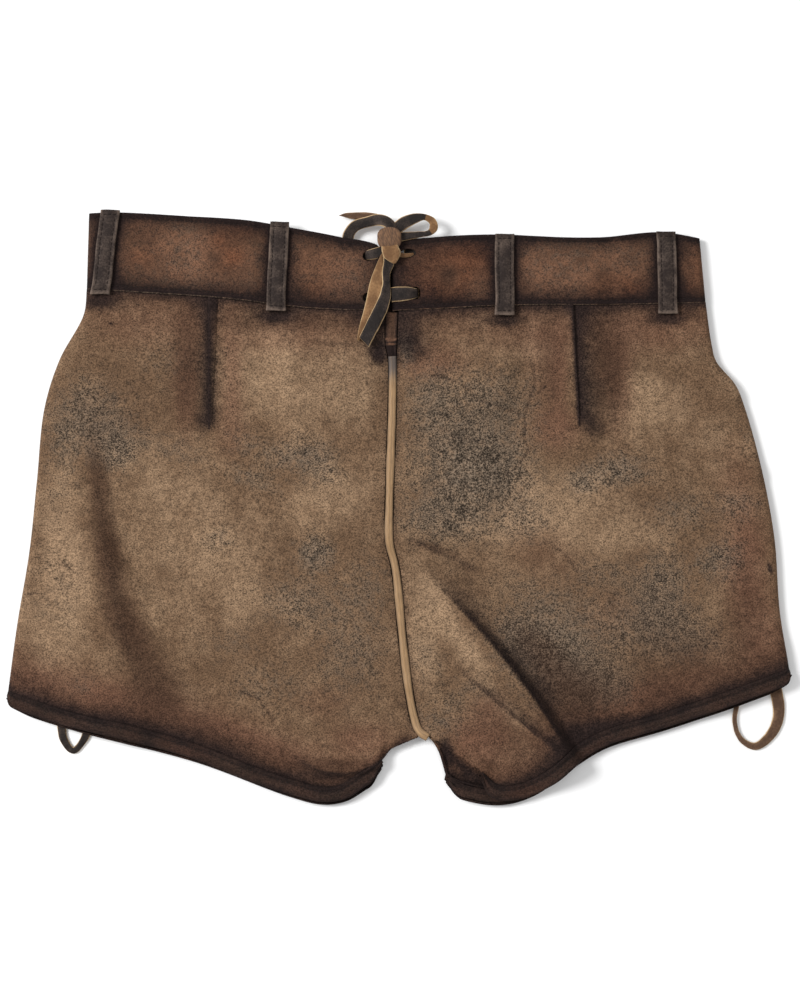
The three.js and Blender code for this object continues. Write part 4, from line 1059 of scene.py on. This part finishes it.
# grey at its start; darker towards its sides, where it dips between the panels, and along its middle groove:
# painted shade
marks["dye_and_shade"] = 0.85 * (1 - ease((far - 0.02) / 0.05)) + 0.8 * np.abs(marks["across"]) ** 4
marks["dye_and_shade"] += 0.3 * falling(marks["across"] - 0.15, 0.14)
welt = skin("welt_back_piping", grid, lower, -1, marks)
finish(welt, "welt_back", "welt_leather", welt_leather)

# The gusset is the panels' suede, less worn; the two tacks at its foot are rubbed pale.
GUSSET_SPAN = (0.004, 0.118)
GUSSET_THICKNESS = 1.2
TACKS = (108, 110.8)
gusset_suede = suede("gusset_suede", "#5f4536", "#4c382c", "#362b25", "#231a18", "#5c3f30", "#38281f", 0.5)
GUSSET = [
    (-1, -0.9), (-0.8, -0.5), (-0.3, -0.55), (0.25, -0.6), (0.4, -1.3), (0.5, -0.6), (0.8, -0.7), (1, -1.2),
]
grid, lower, marks = seam_bar(*GUSSET_SPAN, lambda s, gap: gap - 0.3, GUSSET, GUSSET_THICKNESS)
y = grid[..., 1]
tacks = sum(falling(y - tack, 0.9) for tack in TACKS)
grid[..., 2] += 0.9 * tacks
marks["dye_and_shade"] = np.clip(0.25 + np.abs(marks["across"]) ** 3 + 0.8 * ease((112 - y) / 3) - tacks, 0, 1)
marks["pale"] = 0.9 * tacks
gusset = skin("gusset_back_suede", grid, lower, -1, marks)
finish(gusset, "gusset_back", "gusset_suede", gusset_suede)

# ---------- darts ----------
# Each half of the back is taken in by a dart below the waistband: a tapered fold of the panel itself,
# stitched down, with the fold towards the centre; dye and painted shade darken its edge and the panel beside
# it.
DART_WIDTH = 7.0
DART_TIP = 2.5
DART_SECTION = [
    (-0.06, -0.3), (0, 0.5), (0.05, 0.9), (0.14, 1.0), (0.3, 0.85), (0.5, 0.6), (0.75, 0.3), (0.93, 0.05),
    (1.0, -0.6),
]
for row in darts:
    d = dict(zip(DART_COLUMNS, row))
    inward = -halves[d["side"]]["sign"]
    t = np.linspace(-0.06, 1, 74)[:, None]
    across, rise = np.array(DART_SECTION).T[:, None]
    wide = mix(DART_WIDTH, DART_TIP, t)
    x = mix(d["x0"], d["x1"], t) + inward * wide * across
    y = mix(d["y0"], d["y1"], t) + 0 * x
    base = BACK_LEVEL - BACK_SAG + back_relief(x, y) + hide_grain(x, y)
    z = base + rise * mix(1.9, 0.9, t) * mix(1, 0.15, ease((t - 0.85) / 0.15)) + 0.1
    grid = np.dstack([x, y, z])
    marks = marks_at(x, y, np.maximum(0, 133 - y), y * 0 + 100, y * 0 + 60)
    # dye and painted shade along the dart's folded edge
    crease_dye_and_shade = falling(np.abs(across * wide), 1.1)
    marks["dye_and_shade"] = together(marks["dye_and_shade"], crease_dye_and_shade)
    name = "dart_" + d["side"]
    finish(skin(name + "_suede", grid, grid - (0, 0, 0.8), -inward, marks), name, "suede", body_suede)

# ---------- belt loops ----------
# Six straps of dark leather, 12.5 mm wide, folded double lengthwise and stitched along both edges,
# then sewn down over the waistband at their top and bottom ends. Their edges are worn paler.
LOOP_WIDTH = 12.5
LOOP = 1.5


# Dark aniline leather gone dry: black-brown, pebbled, rubbed to a dusty grey-brown on the edges. The real
# pebble is about half a millimetre and is drawn twice as coarse, so that it shows.
def strap_leather(name, dark, worn, pebble, rough=0.72):
    """A strap's leather with its dark and worn colours, the size of its pebble, and its roughness."""
    material, tree = new_material(name)
    place = node(tree, "ShaderNodeTexCoord").outputs["Object"]
    inputs = {"Vector": place, "Scale": 1000 / pebble, "Detail": 4.0, "Roughness": 0.65}
    grain = node(tree, "ShaderNodeTexNoise", inputs).outputs[0]
    broad = node(tree, "ShaderNodeTexNoise", {"Vector": place, "Scale": 1000 / 9, "Detail": 3.0}).outputs[0]
    rubbed = node(tree, "ShaderNodeAttribute", attribute_name="pale").outputs["Fac"]
    both = node(tree, "ShaderNodeMath", {0: grain, 1: broad}, operation="ADD").outputs[0]
    both = node(tree, "ShaderNodeMath", {0: rubbed, 1: 0.6, 2: both}, operation="MULTIPLY_ADD").outputs[0]
    limits = {0: both, 1: 0.82, 2: 1.75}
    share = node(tree, "ShaderNodeMapRange", limits, interpolation_type="SMOOTHSTEP").outputs[0]
    tones = {0: share, 6: linear(dark), 7: linear(worn)}
    colour = node(tree, "ShaderNodeMix", tones, data_type="RGBA").outputs[2]
    bump = node(tree, "ShaderNodeBump", {"Height": grain, "Strength": 0.6, "Distance": 0.0005}).outputs[0]
    looks = {"Base Color": colour, "Roughness": rough, "Normal": bump, "Specular IOR Level": 0.15}
    shade = node(tree, "ShaderNodeBsdfPrincipled", looks)
    node(tree, "ShaderNodeOutputMaterial", {"Surface": shade.outputs[0]})
    return material


loop_leather = strap_leather("dry_dark_loop_leather", "#251d1a", "#66574d", 1.2)


# across the strap, as shares of its half width, and the depth of its stitched grooves and turned edges
LOOP_SECTION = [
    (-1, -0.9), (-0.97, -0.45), (-0.88, -0.1), (-0.76, 0), (-0.6, -0.35), (-0.45, 0.05), (-0.25, 0.12),
    (0, 0.15), (0.25, 0.12), (0.45, 0.05), (0.6, -0.35), (0.76, 0), (0.88, -0.1), (0.97, -0.45), (1, -0.9),
]
LOOP_GROOVES = (4, 10)


def loop_strap(name, x0, y0, x1, y1, height_at, facing, seed):
    """A belt loop from its top to its foot, with its outer face at height_at(x, y, share of its length)."""
    t = np.linspace(0, 1, 56)[:, None]
    across, sunk = np.array(LOOP_SECTION).T[:, None]
    sway = 0.35 * ripple(t * 60, t * 0, 12, seed)
    flare = 0.05 * falling(1 - t, 0.06) + 0.02 * ripple(t * 60, t * 0 + 9, 9, seed)
    wide = LOOP_WIDTH / 2 * (1 + flare)
    x = mix(x0, x1, t) + sway + across * wide
    y = mix(y0, y1, t) + 0.5 * across * ripple(x, x * 0, 10, seed) + 0 * x
    ends = sum(falling(t - end, 0.03) for end in (0.055, 0.945))
    uneven = 0.2 * ripple(x, y, 5, seed) * ease((1 - abs(across)) / 0.2)
    grid = np.dstack([x, y, height_at(x, y, t) + facing * (sunk - 0.55 * ends + uneven)])
    edge = falling(1 - np.abs(across), 0.2) * (0.6 + 0.6 * ripple(x, y, 6, seed + 1))
    tip = 0.7 * falling(1 - t, 0.04) + 0 * x
    wear_marks = {"pale": np.clip(edge + tip, 0, 1)}
    piece = skin(name + "_leather", grid, grid - (0, 0, facing * LOOP), -facing, wear_marks)
    finish(piece, name, "loop_leather", loop_leather)
    rows = [grid[5:-5, column] for column in LOOP_GROOVES] + [grid[row, 3:12] for row in (3, -4)]
    sew(name + "_leather_stitches", [row + (0, 0, 0.15 * facing) for row in rows])


for k, (x0, y0, x1, y1) in enumerate(loop_places):
    loop_strap(
        f"loop_back_{k + 1}", x0, y0, x1, y1,
        lambda x, y, t: BAND_LEVEL + back_relief(x, y) + 1.15 + 0.5 * np.sin(np.pi * t) + LOOP, 1, 50 + k,
    )
for k, (name, (x, y)) in enumerate(front_loops.items()):
    half = FRONT_LOOP_LENGTH / 2
    loop_strap(name, x, y + half, x, y - half, lambda x, y, t: 0.35 + 0 * x * t, -1, 60 + k)

# ---------- front flap and buttons ----------
# The front opens by a drop flap of the same suede, buttoned at its two upper corners, with one more
# button on the waistband. The buttons are turned from horn, with a rim and four holes, sewn with thread.
FLAP_LENGTH = 116
FLAP_WIDTH = 130
FLAP_PITCH = 2.2
down = steps(FLAP_LENGTH, FLAP_PITCH)[:, None]
along = steps(FLAP_WIDTH, FLAP_PITCH)[None]
y = mix(FLAP["top"], FLAP["bottom"], down) + 0 * along
reach = mix(FLAP["half_top"], FLAP["half_bottom"], down) * np.sqrt(1 - 0.12 * down**8)
x = FLAP["x"] + mix(-reach, reach, along)
grid = np.dstack([x, y, over_buttons(x, y, 0.6, 15, 15) + 0.05])
border = np.minimum(np.minimum(along, 1 - along) * 2 * reach, np.minimum(down, 1 - down) * FLAP_LENGTH)
marks = {
    "dye_and_shade": 0.9 * falling(border, 6, 1.4), "rust": 0.5 * falling(border, 20),
    "grime": 0.5 + 0.5 * ripple(x, y, 24, 71), "pale": 0.5 + 0.5 * ripple(x, y, 30, 72),
}
flap = skin("front_flap_suede", grid, grid + (0, 0, LEATHER), 1, marks)
finish(flap, "front_flap", "suede", body_suede)
rows = (grid[2:-2, 2], grid[2:-2, -3], grid[-3, 2:-2], grid[2, 2:-2])
sew("front_flap_suede_stitches", [row + (0, 0, 0.35) for row in rows])

# Staghorn, sawn, turned and polished: streaked brown and cream, with a soft gloss.
HORN_STREAK = 2.5
horn, tree = new_material("polished_staghorn")
place = node(tree, "ShaderNodeTexCoord").outputs["Object"]
stretched = node(tree, "ShaderNodeMapping", {"Vector": place, "Scale": (1.0, 0.25, 1.0)}).outputs[0]
inputs = {"Vector": stretched, "Scale": 1000 / HORN_STREAK, "Detail": 4.0}
streak = node(tree, "ShaderNodeTexNoise", inputs).outputs[0]
share = node(tree, "ShaderNodeMapRange", {0: streak, 1: 0.35, 2: 0.68}).outputs[0]
browns = {0: share, 6: linear("#3e2a1c"), 7: linear("#a98660")}
colour = node(tree, "ShaderNodeMix", browns, data_type="RGBA").outputs[2]
shade = node(tree, "ShaderNodeBsdfPrincipled", {"Base Color": colour, "Roughness": 0.32, "IOR": 1.55})
node(tree, "ShaderNodeOutputMaterial", {"Surface": shade.outputs[0]})

# distance from the middle and height of a button's rings, from its outer face, which is down, to its back
BUTTON_RINGS = [
    (2.6, 0.75), (4.6, 0.7), (5.6, 0.35), (6.4, 0.08), (7.4, 0), (8.4, 0.25), (9, 1.0), (8.7, 1.7),
    (8, 2.2), (4, 2.2),
]
BUTTON_SIDES = 48
HOLE_REACH = 1.5
HOLE_RADIUS = 0.7
turn = np.linspace(0, 2 * np.pi, BUTTON_SIDES, endpoint=False)
for name, (bx, by) in buttons.items():
    points = [(bx, by, 0.75)]
    for r, z in BUTTON_RINGS:
        points += [(bx + r * np.cos(a), by + r * np.sin(a), z) for a in turn]
    points.append((bx, by, BUTTON))
    faces = tube_faces(1, len(BUTTON_RINGS), BUTTON_SIDES)[:-2]
    last = len(points) - 1
    for k in range(BUTTON_SIDES):
        ahead = (k + 1) % BUTTON_SIDES
        faces += [(0, 1 + ahead, 1 + k), (last - BUTTON_SIDES + k, last - BUTTON_SIDES + ahead, last)]
    button = solid(name + "_horn", points, faces)
    corners = [(bx + a * HOLE_REACH, by + b * HOLE_REACH) for b in (1, -1) for a in (1, -1)]
    punch(button, [(*corner, HOLE_RADIUS, HOLE_RADIUS) for corner in corners], lambda x, y: -5)
    finish(button, name, "horn", horn)
    crossed = [
        np.array([(bx + a, by + d * a, z - 0.15 * (a == 0)) for a in (-HOLE_REACH, 0, HOLE_REACH)])
        for d, z in ((1, 0.55), (-1, 0.6))
    ]
    sew(name + "_thread", crossed, thick=0.7, long=4.2, pitch=4.0)

# ---------- laces ----------
# Flat laces about 8 mm wide, cut from dark leather 1.4 mm thick: the grain side is black-brown, the
# flesh side is raw tan suede and the cut edges are pale. One closes the back of the waistband with a
# bow, a knot and two free tails. Another ties each leg in front and shows as a loop below the hem.
lace_grain = strap_leather("dark_lace_grain", "#1b1614", "#4c4039", 0.9, 0.65)
lace_flesh = strap_leather("raw_tan_lace_flesh", "#634831", "#997652", 1.3, 0.9)
lace_edge = strap_leather("pale_cut_lace_edge", "#8a7050", "#c2a680", 1.0, 0.9)
lace_dusk = strap_leather("brown_lace_flesh", "#4b382c", "#7a5f49", 1.2, 0.9)

# across the lace, as shares of its width, and down from its upper face as shares of its thickness
LACE_SECTION = [
    (-0.5, -0.62), (-0.44, -0.06), (-0.28, 0), (-0.1, 0.03), (0.1, 0.03), (0.28, 0), (0.44, -0.06),
    (0.5, -0.62), (0.46, -1), (0.15, -1), (-0.15, -1), (-0.46, -1),
]
# the leather on each side of that section: 0 the upper face, 1 a cut edge, 2 the under face
LACE_SIDES = (1, 0, 0, 0, 0, 0, 1, 1, 2, 2, 2, 1)
LACE_PITCH = 0.9
laces = {}


def lace(name, rows, base_at, upper, under, seed, cut=(0, 0), flipped=(2, 2), node_name=None):
    """A lace through rows of its centre line: x, y, up, width and tilt. up is the height of its underside
    over what it lies on, and tilt turns it about its length, in degrees. cut slants its two ends, in mm
    across the width, and flipped gives the shares of the length between which it lies under side up."""
    route = np.array([(x, y, base_at(x, y) + up, wide, tilt) for x, y, up, wide, tilt in rows], float)
    at, length = drawn_line(route)
    share = np.linspace(0, 1, max(12, int(length / LACE_PITCH)))
    p = at(share)
    way = np.gradient(p[:, :3], axis=0)
    way /= np.linalg.norm(way, axis=1, keepdims=True)
    flat = np.stack([-way[:, 1], way[:, 0], 0 * way[:, 0]], -1)
    flat /= np.linalg.norm(flat, axis=1, keepdims=True)
    up = np.cross(way, flat)
    turn = np.radians(p[:, 4])[:, None]
    side = flat * np.cos(turn) + up * np.sin(turn)
    rise = up * np.cos(turn) - flat * np.sin(turn)
    section = np.array(LACE_SECTION)
    across = section[None, :, 0] * p[:, 3, None]
    along = share[:, None] * length + 0 * across
    across = across + 0.16 * ripple(along, 30 * np.sign(across), 3.5, seed)
    uneven = 0.14 * ripple(along, across, 2.6, seed + 1) * (section[:, 1] > -0.5)
    level = (1 + section[None, :, 1]) * LACE + uneven
    slant = mix(cut[0], cut[1], share)[:, None] * section[None, :, 0]
    points = p[:, None, :3] + side[:, None] * across[..., None] + rise[:, None] * level[..., None]
    points = points + way[:, None] * slant[..., None]
    count, ring = len(share), len(section)
    leather = []
    for r in range(count - 1):
        turned_over = flipped[0] < r / count < flipped[1]
        leather += [2 - side if turned_over else side for side in LACE_SIDES]
    leather += [1, 1]
    made = solid(name + "_strap", points, [face[::-1] for face in tube_faces(0, count, ring)])
    finish(made, node_name or name, "lace_leather", upper, lace_edge, under)
    made.data.polygons.foreach_set("use_smooth", [side != 1 for side in leather])
    made.data.polygons.foreach_set("material_index", leather)
    rub = np.abs(section[None, :, 0]) * 1.6 - 0.35 + 0.3 * ripple(points[..., 0], points[..., 1], 4, seed)
    set_mark(made.data, "pale", np.clip(rub, 0, 1))
    middle = (p[:, :3] + rise * LACE / 2) * MM
    span = np.linalg.norm(np.diff(middle, axis=0), axis=1).sum()
    laces[name] = made, middle, float(span), float(np.median(p[:, 3])) * MM


def on_band(x, y):
    """The level of the waistband's back, or of what a lace lies on beside it."""
    return BAND_LEVEL + float(back_relief(x, y))


def on_floor(x, y):
    return 0.0


def in_band(x, y):
    """The level between the waistband's front and back."""
    return DOUBLE + 0.4 + float(front_lift(x, y))


lace(
    "lace_tip",
    [(-38, 193, -5.2, 1.2, 0), (-35, 193.2, -5.2, 3, 0), (-30, 193, -5.2, 4.6, 0), (-23, 193.6, -4.8, 4, 0),
     (-14, 193, -4, 3, 0)],
    on_band, lace_dusk, lace_flesh, 81, (-3, 0),
)
lace(
    "lace_arch",
    [(-33.5, 173, -4.6, 7.4, 0), (-33, 180.5, -3.8, 7.6, 8), (-28.5, 186.2, -2, 7.4, 14),
     (-20.5, 188.6, 0, 7.2, 10), (-13, 189.8, 1.2, 7.6, 0), (-7, 187.5, 2.2, 7.6, -14),
     (-2.2, 181.5, 2, 6.4, -24)],
    on_band, lace_grain, lace_flesh, 82,
)
lace(
    "lace_bow",
    [(-1.5, 184, 0.6, 7.8, 0), (4.5, 188.2, 1.3, 8.4, 0), (11.5, 190.8, 2.2, 6.6, 0),
     (17.5, 191.4, 2.6, 4.2, 0), (22.4, 188.6, 2.6, 5, 8), (23.2, 184.4, 2.2, 5.6, 8),
     (20.4, 181.4, 1.4, 4, 0), (14, 180.2, 0.9, 4, 0), (6, 179.2, 0.6, 5.5, 0), (0.5, 178.6, 0.2, 6, 0)],
    on_band, lace_grain, lace_flesh, 83, (0, 0), (0.37, 0.6),
)
lace(
    "lace_tail_pale",
    [(-10.6, 167, 1.5, 1.6, 0), (-12, 160, 1.4, 4.6, 6), (-13.6, 151.5, 0.9, 8.2, 8),
     (-14.8, 144, 0.6, 9.8, 8), (-17, 135, 0.6, 9.2, 4), (-20, 126.5, -0.2, 7.6, 0),
     (-24, 117, -0.3, 4.8, 0), (-26.6, 110, -0.2, 1.6, 0)],
    on_band, lace_flesh, lace_grain, 84,
)
lace(
    "lace_tail_dark",
    [(-6, 167.5, 2.5, 8.2, 0), (-6.4, 161.5, 2.4, 7.4, -6), (-8.4, 154.6, 2.3, 5.8, -16),
     (-8.2, 148, 2.3, 5.4, -18), (-8.6, 140.5, 2.3, 7.4, -10), (-10.8, 133, 2.1, 8.9, 0),
     (-14.6, 124.6, 1.8, 9.3, 6), (-18.8, 116.4, 1.6, 9.2, 8), (-22.6, 108.8, 1.7, 8.8, 4)],
    on_band, lace_grain, lace_flesh, 85, (0, 3.2),
)
lace(
    "lace_cross_lower",
    [(-4.6, 140.4, 0.4, 9.6, 0), (1.5, 140.8, 0.7, 9.7, 0), (7, 141.2, 0.5, 8.6, 0),
     (10.2, 141.4, -0.8, 7, 0), (12, 141.5, -2.4, 6, 0)],
    on_band, lace_grain, lace_flesh, 86,
)
lace(
    "lace_cross_upper",
    [(-3, 166.6, 0.5, 3, 0), (2, 166.4, 0.9, 3, 0), (6, 166.3, 0.6, 2.6, 0), (9.4, 167.2, -1, 1.6, 0)],
    on_band, lace_flesh, lace_grain, 87,
)
lace(
    "lace_cross_upper_left",
    [(-21, 166.6, -2.2, 6, 0), (-18, 167, 0.2, 7, 0), (-13, 168, 0.8, 7.6, 0), (-7, 170, 1, 7.6, 0)],
    on_band, lace_grain, lace_flesh, 93, (0, 0), (2, 2), "lace_cross_upper",
)
# inside the band the lace runs from hole to hole, and shows dark through them
for name, x in (("lace_inside_left", -20), ("lace_inside_right", 8.5)):
    lace(
        name, [(x, 132, 0, 10, 0), (x, 152, 0, 10, 0), (x, 173, 0, 10, 0)], in_band, lace_grain, lace_flesh,
        92, (0, 0), (2, 2), "lace_cross_lower",
    )
lace(
    "lace_knot_end",
    [(-5.8, 172.5, 3.6, 11, 0), (-5.2, 169, 4.4, 11.6, 0), (-4, 166, 4.6, 11.6, 0),
     (-3.2, 163.2, 4.4, 7.4, 0), (-2.4, 160.6, 4.1, 1.6, 0)],
    on_band, lace_flesh, lace_grain, 88,
)
lace(
    "leg_lace_left",
    [(-222, -124, 0.3, 7, 0), (-223, -143, 0.3, 6, 0), (-221.5, -153, 0.3, 5.4, 4),
     (-215.5, -160.5, 0.3, 4.6, 8), (-209.5, -155, 0.3, 4.6, 4), (-206, -147, 0.3, 6, 0),
     (-207, -126, 0.3, 7, 0)],
    on_floor, lace_grain, lace_flesh, 89,
)
lace(
    "leg_lace_left_end",
    [(-197, -128, 0.3, 8, 0), (-195, -142, 0.3, 8, 0), (-188.5, -152.5, 0.3, 7, 0)],
    on_floor, lace_grain, lace_flesh, 90, (0, 2),
)
lace(
    "leg_lace_right",
    [(226, -106, 0.3, 7, 0), (225, -124, 0.3, 4, 0), (222.6, -142, 0.5, 3, 6), (227, -153, 0.7, 3.6, 14),
     (236, -157.6, 0.6, 5, 6), (246, -150.5, 0.3, 6.6, 0), (251.5, -138, 0.3, 7.6, 0),
     (249.5, -120, 0.3, 8.4, 0), (243, -106, 0.3, 8, 0)],
    on_floor, lace_dusk, lace_grain, 91,
)

# The knot is the same lace wound three times round the bow with its tan side out and pulled tight,
# so that it shows as a lobed lump with fine streaks along each turn.
streaked_flesh, tree = new_material("streaked_tan_knot_flesh")
along = node(tree, "ShaderNodeAttribute", attribute_name="along").outputs["Fac"]
across = node(tree, "ShaderNodeAttribute", attribute_name="across").outputs["Fac"]
place = node(tree, "ShaderNodeCombineXYZ", {0: across, 1: along}).outputs[0]
inputs = {"Vector": place, "Scale": 1.0, "Detail": 4.0, "Roughness": 0.6}
streak = node(tree, "ShaderNodeTexNoise", inputs).outputs[0]
share = node(tree, "ShaderNodeMapRange", {0: streak, 1: 0.32, 2: 0.62}).outputs[0]
browns = {0: share, 6: linear("#38251a"), 7: linear("#74543a")}
colour = node(tree, "ShaderNodeMix", browns, data_type="RGBA").outputs[2]
# darker in the grooves between the turns: painted shade
darkening_and_shade = node(tree, "ShaderNodeAttribute", attribute_name="dye_and_shade").outputs["Fac"]
colour = node(tree, "ShaderNodeMix", {0: darkening_and_shade, 6: colour, 7: linear("#33251d")}, data_type="RGBA").outputs[2]
relief = node(tree, "ShaderNodeBump", {"Height": streak, "Strength": 0.6, "Distance": 0.0006}).outputs[0]
shade = node(tree, "ShaderNodeBsdfPrincipled", {"Base Color": colour, "Roughness": 0.85, "Normal": relief})
node(tree, "ShaderNodeOutputMaterial", {"Surface": shade.outputs[0]})

KNOT = {"x": -6, "y": 177.4, "rx": 7.9, "ry": 7.4, "rz": 3.2}
TURN_EDGES = (-3.4, 2.6)
longitude, latitude = np.linspace(0, 2 * np.pi, 60, endpoint=False), np.linspace(0.03, np.pi - 0.03, 44)
longitude, latitude = np.meshgrid(longitude, latitude)
nx, ny, nz = np.sin(latitude) * np.cos(longitude), np.cos(latitude), np.sin(latitude) * np.sin(longitude)
square = (np.abs(nx) ** 2.6 + np.abs(ny) ** 2.6 + np.abs(nz) ** 2.6) ** (-1 / 2.6)
kx, ky, kz = [KNOT[r] * n * square for r, n in (("rx", nx), ("ry", ny), ("rz", nz))]
bowed = kx + 0.9 * (1 - (ky / KNOT["ry"]) ** 2)
groove = sum(falling(bowed - edge, 0.55) for edge in TURN_EDGES)
waist = 1 - 0.10 * ease((-ky - 4) / 4) - 0.04 * groove + 0.05 * ripple(kx * 2, ky, 3.1, 95)
knot_points = np.dstack([
    KNOT["x"] + kx * waist, KNOT["y"] + ky, on_band(KNOT["x"], KNOT["y"]) + 0.5 + KNOT["rz"] + kz * waist,
])
knot = solid("lace_knot_wrap", knot_points, [face[::-1] for face in tube_faces(0, *knot_points.shape[:2])])
set_mark(knot.data, "across", bowed * 1.3 + 0.3 * ky)
set_mark(knot.data, "along", ky * 0.35 + 0.1 * kx)
# painted shade in the grooves between the turns
set_mark(knot.data, "dye_and_shade", 0.45 * np.clip(groove, 0, 1))
finish(knot, "lace_knot", "lace_leather", streaked_flesh)

# each free cord, and the pieces of the same lace that go with it
carried = {
    "lace_tail_dark": [
        "lace_knot_end", "lace_cross_lower", "lace_cross_upper", "lace_cross_upper_left", "lace_inside_left",
        "lace_inside_right", "lace_arch", "lace_tip",
    ],
    "lace_tail_pale": [], "lace_bow": [], "leg_lace_left": ["leg_lace_left_end"], "leg_lace_right": [],
}
for name, others in carried.items():
    piece, middle, span, wide = laces[name]

# ---------- what each sheet was cut to ----------
# Width and length of the rectangle each panel of suede was cut from, and its own flat area in square metres.
for name, width, length, rests_on in (
    ("back_left", 0.262, 0.325, ["front_left_suede"]),
    ("back_right", 0.268, 0.325, ["front_right_suede"]),
    ("front_left", 0.262, 0.32, ["floor"]),
    ("front_right", 0.268, 0.32, ["floor"]),
):
    piece = panels[name]["piece"]
    faces = np.zeros(len(piece.data.polygons))
    piece.data.polygons.foreach_get("area", faces)
